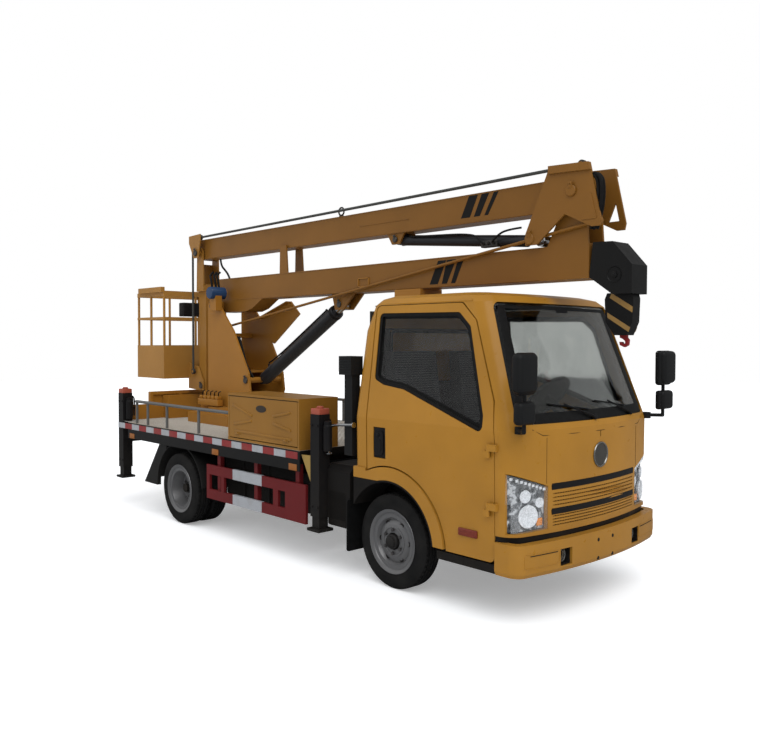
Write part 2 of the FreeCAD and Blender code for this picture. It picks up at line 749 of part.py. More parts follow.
# Front panel: wraps from door to door, with two slots, pressed ribs between them and the lamp openings.
LAMP = [(545, 605), (545, 885), (850, 985), (850, 592)]     # y and z of a head lamp's corners
LAMP_REAR = 2735                                            # where the lamp ends on the cab's side
GRILLE_HALF = 515
GRILLE_SLOTS = ((862, 888), (700, 724))                     # bottom and top of each slot
RIBS = (750, 775, 800, 825, 618, 638, 658, 678)             # bottom of each pressed groove
RIB_HIGH, RIB_DEEP = 8, 8


def lamp_space(sign, clear):
    """The opening that a head lamp fills, or with a clearance the space of the lamp itself."""
    shift = [(clear, clear), (clear, -clear), (-clear, -clear), (-clear, clear)]
    corners = [Vector(LAMP_REAR + clear, sign * (y + dy), z + dz) for (y, z), (dy, dz) in zip(LAMP, shift)]
    return Part.Face(Part.makePolygon(corners + corners[:1])).extrude(Vector(250, 0, 0))


def front_panel():
    shell = outer_skin.cut(cab_skin(RIB_DEEP, RIB_DEEP))
    grooves = [shell.common(cube((2700, 3000), (-500, 500), (z, z + RIB_HIGH))) for z in RIBS]
    slots = [cube((2700, 3000), (-GRILLE_HALF, GRILLE_HALF), z) for z in GRILLE_SLOTS]
    panel = cab_piece(nose_region, [lamp_space(-1, 0), lamp_space(1, 0)] + slots + grooves)
    return largest(panel).fuse(hinge_straps(-1) + hinge_straps(1))


def head_lamps():
    shell = outer_skin.cut(cab_skin(34, 34))
    return [largest(shell.common(lamp_space(sign, 0.3))) for sign in (-1, 1)]


node(part_feature("front_panel_skin", front_panel()), "front_panel")
node(part_feature("head_lamp_pair", Part.makeCompound(head_lamps())), "head_lamps")

# The bumper's plan, in the columns of CAB_LEVELS, and the heights of its lower edge, face and top.
BUMPER_PLAN = (868, 1300, 60, 2780, 2868, 795, 2950)
BUMPER_Z = (325, 352, 537)
BUMPER_WALL = 60
FOG_Y, FOG_Z = (378, 492), (362, 474)


def bumper_shape():
    """A deep bar round the cab's nose, open for the fog lamps, on two brackets to the rails."""
    low, mid, top = BUMPER_Z
    foot = cab_level((low,) + BUMPER_PLAN, 14)
    plan = cab_level((mid,) + BUMPER_PLAN, 0)
    inner = cab_level((low,) + BUMPER_PLAN, BUMPER_WALL)
    bar = Part.makeLoft([foot, plan], True, True).fuse(Part.Face(plan).extrude(Vector(0, 0, top - mid)))
    bar = bar.cut(Part.Face(inner).extrude(Vector(0, 0, top - low)))
    bar = bar.cut(cube((1200, DOOR_FRONT + 12), (-1000, 1000), (300, 600)))
    for sign in (-1, 1):
        bar = bar.cut(cube((2800, 3000), span(sign, *FOG_Y), FOG_Z))
    front = num("rail_front") + 0.3
    lugs = [cube((front, 2800), (y, y + 60), (400, 640)) for y in (-350, 290)]
    lugs += [cube((front, 2900), (y, y + 60), (400, top - 5)) for y in (-350, 290)]
    return largest(bar.fuse(lugs).removeSplitter())


node(part_feature("bumper_bar", bumper_shape()), "bumper")

screen = cab_skin(12, 12).cut(cab_skin(20, 20)).common(screen_space(0.3))
node(part_feature("windscreen_glass", largest(screen)), "windscreen")


# ---------------------------------------------------------------- cab fittings
def seat(tag, y):
    """A seat: base, cushion and back, all one padded piece."""
    base = block("seat_base_" + tag, (1480, 1900), (y - 180, y + 180), (floor_z + 40, 1060))
    cushion = block("seat_cushion_" + tag, (1430, 1960), (y - 240, y + 240), (1040, 1170))
    back = plate("seat_back_" + tag, "XZ", [(1420, 1100), (1560, 1100), (1470, 1740), (1370, 1740)],
                 y - 235, y + 235)
    return fuse("seat_" + tag, [base, cushion, back])


node(group("seat_pair", [seat("right", -370), seat("left", 370)]), "seats")
DASH = [(2330, 960), (2330, 1230), (2420, 1275), (2700, 1275), (2730, 960)]
dash = plate("dash_body", "XZ", DASH, -700, 700)
dash_leg = block("dash_leg", (2560, 2700), (-300, 300), (floor_z + 40, 970))
column_points = [(2360, 1190), (2400, 1230), (2205, 1412), (2167, 1375)]
column = plate("steering_column", "XZ", column_points, 345, 395)
wheel = doc.addObject("Part::Torus", "steering_rim")
bind(wheel, "Radius1", 205)
bind(wheel, "Radius2", 16)
wheel.Placement = Placement(Vector(2190, 370, 1385), Rotation(Vector(0, 1, 0), -48))
hub_bar = doc.addObject("Part::Cylinder", "steering_spoke")
bind(hub_bar, "Radius", 190)
bind(hub_bar, "Height", 14)
hub_bar.Placement = Placement(Vector(2190, 370, 1385), Rotation(Vector(0, 1, 0), -48))
node(fuse("dashboard_body", [dash, dash_leg, column, wheel, hub_bar]), "dashboard")


MIRROR_POST = (2900, 872)     # upright tube that carries both mirror heads


def mirror_shape(sign):
    """A large and a small mirror head on a bent tube from the corner under the windscreen."""
    x, y = MIRROR_POST[0], sign * MIRROR_POST[1]
    low = 1262
    large = cube((x - 26, x + 30), span(sign, 780, 960), (1492, 1755))
    large = large.makeFillet(24, large.Edges)
    small = cube((x - 24, x + 22), span(sign, 790, 930), (1308, 1452))
    small = small.makeFillet(18, small.Edges)
    post = Part.makeCylinder(13, 1600 - low, Vector(x, y, low))
    bend = Part.makeSphere(13, Vector(x, y, low))
    start = Vector(2770, sign * 775, low)
    arm = Part.makeCylinder(13, (Vector(x, y, low) - start).Length, start, Vector(x, y, low) - start)
    foot = Part.makeCylinder(34, 46, Vector(2808, sign * 790, low - 24))
    whole = large.fuse([small, post, bend, arm, foot])
    return whole.cut(cab_skin(-0.3, 0))


node(part_feature("mirror_pair", Part.makeCompound(
    [largest(mirror_shape(-1)), largest(mirror_shape(1))])), "mirrors")
snorkel = block("intake_box", (1130, 1275), (-870, -750), (1560, 1705))
elbow = block("intake_bracket", (1260, 1299.7), (-800, -775), (1200, 1245))
pipe = block("intake_pipe", (1175, 1265), (-850, -770), (940, 1561))
node(fuse("air_intake_body", [snorkel, elbow, pipe]), "air_intake")


# ---------------------------------------------------------------- deck and its fittings
deck_y = (-size["deck_half"], size["deck_half"])
deck_plate = block("deck_plate", (size["deck_rear"], size["deck_front"]), deck_y,
                   (deck_under, size["deck_top"]))
skirts = [block("deck_skirt_%d" % i, (size["deck_rear"] + 270, size["deck_front"]), y,
                (size["deck_top"] - size["skirt_drop"], size["deck_top"] - 10))
          for i, y in enumerate(((-size["deck_half"], 10 - size["deck_half"]),
                                 (size["deck_half"] - 10, size["deck_half"])))]
bearers = [block("deck_bearer_%d" % i, (size["leg_rear_x"] + 60, size["deck_front"]), y,
                 (size["rail_top"], deck_under + 5))
           for i, y in enumerate(((-rail_outer, -size["rail_inner_y"]), (size["rail_inner_y"], rail_outer)))]
crosses = [block("deck_cross_%d" % i, (x, x + 60), (-900, 900), (deck_under - 60, deck_under + 5))
           for i, x in enumerate((-2200, -600, 0, 600))]
notches = [block("deck_notch_%d" % i, (-2700, -2340), y, (700, 1000))
           for i, y in enumerate(((-1000, -800), (800, 1000)))]
node(cut("deck_body", fuse("deck_solid", [deck_plate] + skirts + bearers + crosses), notches), "deck")


def deck_rail(side, sign):
    y = sign * 910
    tube = rod("rail_tube_" + side, "X", (-2190, y, 1165), 16, 2190 - 344.3)
    posts = [rod("rail_post_%s_%d" % (side, i), "Z", (x, y, size["deck_top"]), 14, 235)
             for i, x in enumerate((-2174, -1929, -1520, -900))]
    return fuse("rail_" + side, [tube] + posts)


node(group("deck_rail_pair", [deck_rail("right", -1), deck_rail("left", 1)]), "deck_rails")


GUARD_ENDS = (-750, 770)
GUARD_BARS = ((335, 425), (565, 655))
GUARD_POSTS = ((-750, -700), (-500, -450), (320, 390), (490, 770))
GUARD_HANGERS = (-595, 5, 605)


def side_guard(side, sign):
    """Two bars between upright plates, on three hangers under the deck."""
    y = span(sign, 890, 915)
    high = (GUARD_BARS[0][0], GUARD_BARS[1][1])
    pieces = [block("guard_bar_%s_%d" % (side, i), GUARD_ENDS, y, z) for i, z in enumerate(GUARD_BARS)]
    pieces += [block("guard_post_%s_%d" % (side, i), x, y, high) for i, x in enumerate(GUARD_POSTS)]
    pieces += [block("guard_hanger_%s_%d" % (side, i), (x, x + 50), span(sign, 850, 891),
                     (high[0], deck_under - 60.3)) for i, x in enumerate(GUARD_HANGERS)]
    return fuse("guard_" + side, pieces)


node(group("side_guard_pair", [side_guard("right", -1), side_guard("left", 1)]), "side_guards")


MUDGUARD_RADIUS = 447
MUDGUARD_FLAP = [(-1990, 330), (-1700, 330), (-1500, 780), (-1640, 790)]


def mudguard(sign):
    """A rounded guard over the twin wheels with a deep flap behind, hung from the deck on two straps."""
    x, z = float(rear_x), num("tyre_radius")
    y = span(sign, 560, 920)

    def ring(radius):
        return Part.makeCylinder(radius, y[1] - y[0], Vector(x, y[0], z), Vector(0, 1, 0))

    guard = ring(MUDGUARD_RADIUS).common(cube((x - 600, x + 600), y, (z + 60, 1000)))
    straps = [cube((x + dx, x + dx + 40), span(sign, 700, 760), (z + 420, float(deck_under) - 0.3))
              for dx in (-130, 90)]
    whole = guard.fuse(straps + [prism(MUDGUARD_FLAP, *span(sign, 880, 920))])
    return largest(whole.cut(ring(MUDGUARD_RADIUS - 8)).removeSplitter())


node(part_feature("mudguard_pair", Part.makeCompound([mudguard(-1), mudguard(1)])), "rear_mudguards")


def tool_box(side, sign):
    """A hollow box on the deck edge, open towards the side, and the door that closes it."""
    y_out, y_in = size["deck_half"], size["deck_half"] - size["box_depth"]
    t = size["box_wall"]
    shell = block("box_shell_" + side, (size["box_rear"], size["box_front"]), (y_in, y_out),
                  (size["deck_top"], size["box_top"]))
    space = block("box_space_" + side, (size["box_rear"] + t, size["box_front"] - t), (y_in + t, y_out + 5),
                  (size["deck_top"] + t, size["box_top"] - t))
    hinge_y, hinge_z = y_out - 10, size["deck_top"] + t + 18
    pins = [rod("box_pin_%s_%d" % (side, i), "X", (x, hinge_y, hinge_z), 5, 26)
            for i, x in enumerate((size["box_rear"] + t - 1, size["box_front"] - t - 25))]
    box = fuse("box_body_" + side, [cut("box_hollow_" + side, shell, [space])] + pins)
    panel = block("box_panel_" + side, (size["box_rear"] + t + 5, size["box_front"] - t - 5),
                  (y_out - t, y_out), (size["deck_top"] + t + 8, size["box_top"] - t - 5))
    door_bore = rod("box_bore_" + side, "X", (size["box_rear"], hinge_y, hinge_z),
                    as_size(5) + size["pin_gap"], size["box_front"] - size["box_rear"])
    door = cut("box_door_" + side, panel, [door_bore])
    if sign < 0:
        return mirrored("box_mirror_" + side, box), mirrored("box_door_mirror_" + side, door)
    return box, door


box_right, box_door_right = tool_box("right", -1)
box_left, box_door_left = tool_box("left", 1)
node(group("tool_box_pair", [box_right, box_left]), "tool_boxes")
node(box_door_right, "tool_door_right")
node(box_door_left, "tool_door_left")


# ---------------------------------------------------------------- outriggers
half_sleeve = size["sleeve_size"] / 2
half_leg = size["leg_size"] / 2
half_space = half_leg + size["slide_gap"]


def outrigger(tag, x, beam_z):
    """A cross beam over the rails with an upright sleeve at each end."""
    beam = block("beam_" + tag, (x - 55, x + 55), (-size["leg_y"], size["leg_y"]), beam_z)
    sleeves = [block("sleeve_%s_%d" % (tag, i), (x - half_sleeve, x + half_sleeve),
                     (y - half_sleeve, y + half_sleeve), (size["sleeve_bottom"], size["sleeve_top"] + 38))
               for i, y in enumerate((-size["leg_y"], size["leg_y"]))]
    spaces = [block("sleeve_space_%s_%d" % (tag, i), (x - half_space, x + half_space),
                    (y - half_space, y + half_space), (size["sleeve_bottom"] - 5, size["sleeve_top"]))
              for i, y in enumerate((-size["leg_y"], size["leg_y"]))]
    return cut("outrigger_" + tag, fuse("outrigger_solid_" + tag, [beam] + sleeves), spaces)


node(group("outrigger_pair", [
    outrigger("front", size["leg_front_x"], (size["rail_top"] + 0.3, 830)),
    outrigger("rear", size["leg_rear_x"], (size["rail_top"] + 0.3, 830)),
]), "outrigger_beams")


def leg(tag, x, y):
    stem = block("leg_stem_" + tag, (x - half_leg, x + half_leg), (y - half_leg, y + half_leg),
                 (size["foot_bottom"] + 10, size["sleeve_top"] - 15))
    foot = block("leg_foot_" + tag, (x - 75, x + 75), (y - 75, y + 75),
                 (size["foot_bottom"], size["foot_bottom"] + 22))
    return fuse("leg_body_" + tag, [stem, foot])


for end in ("front", "rear"):
    for side, sign in (("right", -1), ("left", 1)):
        x = size["leg_%s_x" % end]
        node(leg("%s_%s" % (end, side), x, size["leg_y"] * sign), "leg_%s_%s" % (end, side))

# ---------------------------------------------------------------- boom stand and rear cabinet
rest_top = size["lower_bottom"] - 0.3
stand = [block("stand_post_%d" % i, (1040, 1140), y, (size["rail_top"], 1240))
         for i, y in enumerate(((-rail_outer, -size["rail_inner_y"]), (size["rail_inner_y"], rail_outer)))]
stand += [block("stand_brace", (1040, 1140), (-rail_outer, rail_outer), (1170, 1240)),
          plate("stand_column", "YZ", [(-220, 1235), (220, 1235), (70, 1400), (70, 2200), (-70, 2200),
                                       (-70, 1400)], 1045, 1135),
          block("stand_cradle", (985, 1290), (-130, 130), (2150, rest_top))]
CABINET_WINDOW = (1095, 1200)
window_low, window_high = CABINET_WINDOW
cabinet = [block("cabinet_body", (-2560, -2420), (-400, 400), (size["deck_top"], 1190)),
           block("cabinet_beam", (size["deck_rear"], -2555), (-790, 790), (size["deck_top"], window_low)),
           block("cabinet_panel", (-2592, -2578), (-540, 540), (window_low - 5, window_high + 5)),
           block("cabinet_rail", (-2606, -2555), (-560, 560), (window_high, window_high + 35))]
cabinet += [block("cabinet_post_%d" % i, (-2606, -2555), (y - 18, y + 18), (window_low - 5, window_high + 10))
            for i, y in enumerate((-542, -180, 180, 542))]
node(group("stand_and_cabinet", [fuse("boom_stand_body", stand), fuse("rear_cabinet_body", cabinet)]),
     "boom_stand")


# ---------------------------------------------------------------- turntable and turret
slew = size["slew_x"]
base_block = block("slew_base_block", (slew - 400, slew + 400), (-400, 400), (size["deck_top"], 1045))
base_ring = rod("slew_ring", "Z", (slew, 0, 1040), 340, 35)
base_bore = rod("slew_bore", "Z", (slew, 0, 1000), 250.05, 100)
node(cut("slew_base_body", fuse("slew_base_solid", [base_block, base_ring]), [base_bore]), "turntable_base")

turret_inner = size["turret_half"] - size["turret_plate"]
root = (size["root_x"], size["root_z"])
TURRET_SIDE = [(-1860, 1100), (-1860, 2215), (-1820, 2262), (-1700, 2270), (-1360, 1924), (-1080, 1480),
               (-1050, 1300), (-1180, 1100)]
HOSE_ARM = [(-1500, 2010), (-1460, 2070), (-936, 2234), (-781, 2098), (-1234, 1789), (-1420, 1880)]
HOSE_ARM_FLANGE = [(-1460, 2055), (-1460, 2070), (-936, 2234), (-925, 2225)]
turret_parts = [
    plate("hose_arm", "XZ", HOSE_ARM, turret_inner, size["turret_half"]),
    plate("hose_arm_flange", "XZ", HOSE_ARM_FLANGE, 150, size["turret_half"]),
    plate("turret_side_right", "XZ", TURRET_SIDE, -size["turret_half"], -turret_inner),
    plate("turret_side_left", "XZ", TURRET_SIDE, turret_inner, size["turret_half"]),
    block("turret_floor", (-1960, -1160), (-260, 260), (1075.3, 1115)),
    rod("turret_disc", "Z", (slew, 0, 1075.3), 330, 35),
    rod("turret_spigot", "Z", (slew, 0, 1010), 250, 80),
    block("turret_back", (-1860, -1840), (-206, 206), (1110, 1700)),
    block("turret_web", (-1850, -1640), (-206, 206), (1850, 1900)),
    block("turret_shelf", (-1850, -1300), (-206, 206), (1480, 1500)),
    rod("root_pin", "Y", (root[0], -size["turret_half"] - 8, root[1]), pin, (size["turret_half"] + 8) * 2),
    rod("root_boss_right", "Y", (root[0], -206, root[1]), 58, 98),
    rod("root_boss_left", "Y", (root[0], 108, root[1]), 58, 98),
    rod("lift_foot_pin", "Y", (LIFT_FOOT[0], -size["turret_half"] - 8, LIFT_FOOT[1]), pin,
        (size["turret_half"] + 8) * 2),
    rod("lower_rod_foot_pin", "Y", (root[0] + LOW_ROD[0], -206, root[1] + LOW_ROD[1]), small_pin, 94),
]
node(fuse("turret_body", turret_parts), "turret")
slew_parts = [block("valve_box", (-1958, -1868), (-170, 150), (1115.3, 1290)),
              rod("slew_motor", "Z", (-1910, -200, 1115.3), 45, 150)]
motor_parts = [rod("hydraulic_motor", "Y", (-1640, -340, 2330), 62, 185),
               block("motor_bracket", (-1700, -1580), (-300, -225.3), (2140, 2300))]
node(group("slew_drive_set", [fuse("valve_set", slew_parts), fuse("motor_set", motor_parts)]), "slew_drive")


# ---------------------------------------------------------------- lower boom
elbow_pin = (size["elbow_x"], size["elbow_z"])
tip = (size["tip_x"], size["tip_z"])
low_top = size["lower_bottom"] + size["lower_depth"]
half_low = size["lower_half"]


def cheek(name, points, near, far, sign, holes=()):
    """A side plate between two distances from the centre line, on one side."""
    low, high = (-as_size(far), -as_size(near)) if sign < 0 else (as_size(near), as_size(far))
    return plate(name, "XZ", points, low, high, holes)


lower_parts = [
    block("lower_box", (-1700, 2858), (-half_low, half_low), (size["lower_bottom"], low_top)),
    plate("lower_root", "XZ", [(root[0] - 62, 2130), (root[0] - 62, low_top), (-1000, low_top), (-1000, 2256),
                               (-1180, 2160), (-1300, 2130)], -half_low, half_low),
]
GUSSET = [(2520, 2400), (2520, 2500), (elbow_pin[0] - 70, elbow_pin[1] - 20),
          (elbow_pin[0] - 50, elbow_pin[1] + 62),
          (elbow_pin[0] + 50, elbow_pin[1] + 62), (elbow_pin[0] + 70, elbow_pin[1] - 20), (2858, 2400)]
SADDLE = [(-700, 2400), (-690, 2770), (-590, 2770), (-560, 2400)]
LUG = [(60, 2300), (440, 2300), (LIFT_EYE[0] + 60, LIFT_EYE[1] - 50), (LIFT_EYE[0] - 60, LIFT_EYE[1] - 50)]
for sign, side in ((-1, "right"), (1, "left")):
    lower_parts += [
        cheek("gusset_" + side, GUSSET, 85, half_low, sign),
        cheek("saddle_" + side, SADDLE, 88, half_low, sign),
        cheek("lift_lug_" + side, LUG, 44, 64, sign),
    ]
lower_bores = [rod("root_bore", "Y", (root[0], -200, root[1]), bore, 400),
               rod("elbow_bore", "Y", (elbow_pin[0], -200, elbow_pin[1]), bore, 400)]
node(cut("lower_boom_body", fuse("lower_boom_solid", lower_parts), lower_bores), "lower_boom")

HEAD = [(2858.3, 2262), (2886, 2497), (3035, 2492), (3178, 2331), (3178, 2140), (3035, 2140)]
HOOK_BLOCK = [(2965, 2150), (3150, 2150), (3161, 2110), (3155, 1954), (3115, 1866), (3020, 1866),
              (2955, 1957), (2947, 2110)]
HOOK = [(3045, 1880), (3095, 1880), (3095, 1850), (3108, 1835), (3104, 1800), (3078, 1786), (3046, 1800),
        (3042, 1822), (3060, 1822), (3066, 1810), (3078, 1806), (3086, 1815), (3084, 1828), (3066, 1842),
        (3045, 1850)]
head_parts = [plate("head_housing", "XZ", HEAD, -100, 100), plate("hook_block", "XZ", HOOK_BLOCK, -45, 45),
              plate("hook_shape", "XZ", HOOK, -13, 13)]
node(fuse("boom_head_body", head_parts), "boom_head")

# ---------------------------------------------------------------- elbow link and rods
ELBOW = [(2574, 3044), (2895, 3028), (2985, 2640), (2975, 2595), (2915, 2595), (2700, 2700), (2470, 2510),
         (2370, 2510), (2370, 2590)]
ELBOW_FLANGE = [(2574, 2990), (2574, 3044), (2895, 3028), (2908, 2974)]
ELBOW_WINDOW = [(2850, 2660), (2935, 2660), (2905, 2790)]
elbow_parts = [
    cheek("elbow_flange_right", ELBOW_FLANGE, 150, 186, -1),
    cheek("elbow_flange_left", ELBOW_FLANGE, 150, 186, 1),
    cheek("elbow_plate_right", ELBOW, 150, 166, -1),
    cheek("elbow_plate_left", ELBOW, 150, 166, 1),
    rod("elbow_main_pin", "Y", (elbow_pin[0], -172, elbow_pin[1]), pin, 344),
    rod("upper_ram_boss", "Y", (elbow_pin[0] + RAM_EYE[0], 46, elbow_pin[1] + RAM_EYE[1]), 40, 110),
    rod("lower_rod_pin", "Y", (elbow_pin[0] + LOW_ROD[0], -160, elbow_pin[1] + LOW_ROD[1]), small_pin, 48),
    rod("upper_rod_pin", "Y", (elbow_pin[0] + UP_ROD[0], -160, elbow_pin[1] + UP_ROD[1]), small_pin, 48),
]
elbow_window = plate("elbow_window", "XZ", ELBOW_WINDOW, -200, 200)
node(cut("elbow_link_body", fuse("elbow_link_solid", elbow_parts), [elbow_window]), "elbow_link")


def levelling_rod(name, foot, head):
    """A round rod between two bored eyes, on the right of the booms."""
    x0, z0, x1, z1 = [float(as_size(v)) for v in foot + head]
    length = math.hypot(x1 - x0, z1 - z0)
    slope = math.degrees(math.atan2(z1 - z0, x1 - x0))
    bar = doc.addObject("Part::Cylinder", name + "_bar")
    bind(bar, "Radius", size["rod_radius"])
    bar.Height = length
    bar.Placement = Placement(Vector(x0, -130, z0), Rotation(Vector(0, 1, 0), 90 - slope))
    bind(bar, "Placement.Base.y", -size["rod_y"])
    ends = [rod("%s_eye_%d" % (name, i), "Y", (x, -size["rod_y"] - 13, z), 30, 26)
            for i, (x, z) in enumerate((foot, head))]
    holes = [rod("%s_hole_%d" % (name, i), "Y", (x, -size["rod_y"] - 30, z), small_bore, 60)
             for i, (x, z) in enumerate((foot, head))]
    return cut(name + "_body", fuse(name + "_solid", [bar] + ends), holes)


def offset(point, step):
    return (point[0] + step[0], point[1] + step[1])


node(levelling_rod("lower_rod", offset(root, LOW_ROD), offset(elbow_pin, LOW_ROD)), "lower_rod")
node(levelling_rod("upper_rod", offset(tip, UP_ROD), offset(elbow_pin, UP_ROD)), "upper_rod")

# ---------------------------------------------------------------- upper boom
half_up = size["upper_half"]
up_low = size["elbow_z"] - 113
up_parts = [
    block("upper_box", (tip[0] - 60, elbow_pin[0] + 70), (-half_up, half_up),
          (up_low, up_low + size["upper_depth"])),
]
UPPER_LUG = [(820, 2760), (1050, 2760), (UPPER_FOOT[0] + 45, UPPER_FOOT[1] - 40),
             (UPPER_FOOT[0] - 45, UPPER_FOOT[1] - 40)]
for sign, side in ((-1, "right"), (1, "left")):
    up_parts.append(cheek("upper_lug_" + side, UPPER_LUG, 52, 70, sign))
up_parts.append(rod("upper_foot_pin", "Y", (UPPER_FOOT[0], -76, UPPER_FOOT[1]), 24, 152))
up_bores = [rod("upper_elbow_bore", "Y", (elbow_pin[0], -200, elbow_pin[1]), bore, 400),
            rod("upper_tip_bore", "Y", (tip[0], -200, tip[1]), bore, 400)]
node(cut("upper_boom_body", fuse("upper_boom_solid", up_parts), up_bores), "upper_boom")

# ---------------------------------------------------------------- tip link, third arm and its rod
TIP = [(tip[0] - 150, tip[1] + 120), (tip[0] - 150, tip[1] + 200), (tip[0] + 95, tip[1] + 210),
       (tip[0] + 95, tip[1] + 140), (tip[0] + 50, tip[1] - 55), (tip[0] - 50, tip[1] - 55)]
tip_parts = [
    cheek("tip_plate_right", TIP, 148, 160, -1),
    cheek("tip_plate_left", TIP, 148, 160, 1),
    rod("tip_main_pin", "Y", (tip[0], -166, tip[1]), pin, 332),
    rod("tip_rod_pin", "Y", (tip[0] + UP_ROD[0], -156, tip[1] + UP_ROD[1]), small_pin, 44),
    rod("third_rod_pin", "Y", (tip[0] + THIRD_ROD[0], -156, tip[1] + THIRD_ROD[1]), small_pin, 44),
]
node(fuse("tip_link_body", tip_parts), "tip_link")

basket_pin = (tip[0], size["basket_pin_z"])
half_arm = size["arm_size"] / 2
ARM_CHEEK = [(tip[0] - 60, tip[1] + 20), (tip[0] - 30, tip[1] + 58), (tip[0] + 30, tip[1] + 58),
             (tip[0] + 60, tip[1] + 20), (tip[0] + 75, 2380), (tip[0] - 75, 2380)]
arm_parts = [
    block("arm_box", (tip[0] - half_arm, tip[0] + half_arm), (-half_arm, half_arm),
          (basket_pin[1] - 50, 2460)),
    cheek("arm_cheek_right", ARM_CHEEK, 92, 107, -1),
    cheek("arm_cheek_left", ARM_CHEEK, 92, 107, 1),
    block("arm_collar", (tip[0] - half_arm, tip[0] + half_arm), (-93, 93), (2380, 2450)),
    block("arm_back", (tip[0] - half_arm, tip[0] - half_arm + 10), (-93, 93), (2440, tip[1] - 115)),
]
arm_bores = [rod("arm_tip_bore", "Y", (tip[0], -200, tip[1]), bore, 400),
             rod("arm_foot_bore", "Y", (basket_pin[0], -200, basket_pin[1]), bore, 400)]
node(cut("third_arm_body", fuse("third_arm_solid", arm_parts), arm_bores), "third_arm")
node(levelling_rod("third_rod", offset(basket_pin, THIRD_ROD), offset(tip, THIRD_ROD)), "third_rod")

# ---------------------------------------------------------------- basket
bf = size["basket_front"]
br = bf - size["basket_long"]
bh = size["basket_half"]
bz = size["basket_floor"]
BRACKET = [(basket_pin[0] + 48, basket_pin[1] - 45), (basket_pin[0] + 48, basket_pin[1] + 45),
           (basket_pin[0] - 60, 1515), (bf - 10, 1560), (bf - 10, 1262), (basket_pin[0] - 60, 1250)]
FLARE = 32                   # how far the top rim stands out past the tub
TUB_TOP = 1760
RIM_CUT = 120                # cut corners of the rim
tub_rear, tub_half = br + FLARE, bh - FLARE
tub = block("basket_tub", (tub_rear, bf), (-tub_half, tub_half), (bz, TUB_TOP))
tub_space = block("basket_space", (tub_rear + 20, bf - 20), (20 - tub_half, tub_half - 20),
                  (bz + 30, TUB_TOP + 40))
basket_parts = [
    cut("basket_tub_shell", tub, [tub_space]),
    cheek("bracket_right", BRACKET, 82, 97, -1),
    cheek("bracket_left", BRACKET, 82, 97, 1),
    rod("basket_main_pin", "Y", (basket_pin[0], -103, basket_pin[1]), pin, 206),
    rod("third_rod_foot_pin", "Y", (basket_pin[0] + THIRD_ROD[0], -146, basket_pin[1] + THIRD_ROD[1]),
        small_pin, 56),
]


def rim_outline(inset, front):
    """Plan of the rim: square at the turret's side, its rear corners cut."""
    back, side = br + inset, bh - inset
    corner = RIM_CUT - inset * 0.4
    return [(front, -side), (front, side), (back + corner, side), (back, side - corner), (back, corner - side),
            (back + corner, -side)]


rim_z = bz + size["basket_high"]
post_places = [(x, y) for x in (bf - 14, (bf + tub_rear) / 2, tub_rear + 14)
               for y in (14 - tub_half, tub_half - 14)]
post_places += [(bf - 14, 0), (tub_rear + 14, 0)]
for i, (x, y) in enumerate(post_places):
    basket_parts.append(rod("basket_post_%d" % i, "Z", (x, y, TUB_TOP - 15), 14, rim_z - 75 - TUB_TOP + 15))
for i, (level, high) in enumerate(((2060, 28), (2330, 46))):
    rail = block("basket_rail_%d" % i, (tub_rear, bf), (-tub_half, tub_half), (level, level + high))
    rail_space = block("basket_rail_space_%d" % i, (tub_rear + 28, bf - 28), (28 - tub_half, tub_half - 28),
                       (level - 1, level + high + 1))
    basket_parts.append(cut("basket_rail_ring_%d" % i, rail, [rail_space]))
rim = plate("basket_rim", "XY", rim_outline(0, bf), rim_z - 60, rim_z)
rim_space = plate("basket_rim_space", "XY", rim_outline(46, bf + 10), rim_z - 61, rim_z + 1)
basket_parts.append(cut("basket_rim_ring", rim, [rim_space]))
node(fuse("basket_body", basket_parts), "basket")


# ---------------------------------------------------------------- cylinders
def cylinder_pair(name, foot, head, barrel_radius, rod_size, piston, foot_pin, head_pin, body_end):
    """A barrel bored for its piston and rod, and the ram with its piston, eye and pin.

    Both are drawn along +X from the foot and then turned into place.
    """
    length = math.hypot(head[0] - foot[0], head[1] - foot[1])
    slope = math.degrees(math.atan2(head[1] - foot[1], head[0] - foot[0]))
    turn = Placement(Vector(foot[0], 0, foot[1]), Rotation(Vector(0, 1, 0), -slope))
    gap = num("pin_gap")

    def along(start, end, radius):
        return Part.makeCylinder(radius, end - start, Vector(start, 0, 0), Vector(1, 0, 0))

    def eye(x, radius, hole):
        outer = Part.makeCylinder(radius, 70, Vector(x, -35, 0), Vector(0, 1, 0))
        return outer, Part.makeCylinder(hole + gap, 80, Vector(x, -40, 0), Vector(0, 1, 0))

    lug, hole = eye(0, foot_pin + 18, foot_pin)
    barrel = along(foot_pin + 8, body_end, barrel_radius).fuse(lug)
    barrel = barrel.cut(hole).cut(along(70, body_end - 50, piston + gap))
    barrel = barrel.cut(along(60, body_end + 10, rod_size + gap))
    lug = eye(length, head_pin + 18, head_pin)[0]
    ends = Part.makeCylinder(head_pin, 84, Vector(length, -42, 0), Vector(0, 1, 0))
    ram = along(90, length - head_pin - 6, rod_size).fuse([along(90, 130, piston), lug, ends])
    pieces = []
    for tag, shape in (("barrel", barrel), ("ram", ram)):
        item = part_feature("%s_%s_body" % (name, tag), shape)
        item.Placement = turn
        pieces.append(item)
    return pieces


lift_barrel, lift_ram = cylinder_pair("lift", LIFT_FOOT, LIFT_EYE, 68, 40, 52, 30, 30, 1380)
node(lift_barrel, "lift_barrel")
node(lift_ram, "lift_ram")
upper_eye = (float(elbow_pin[0]) + RAM_EYE[0], float(elbow_pin[1]) + RAM_EYE[1])
upper_barrel, upper_ram = cylinder_pair("upper", UPPER_FOOT, upper_eye, 45, 28, 36, 24, 24, 1345)
node(upper_barrel, "upper_barrel")
node(upper_ram, "upper_ram")


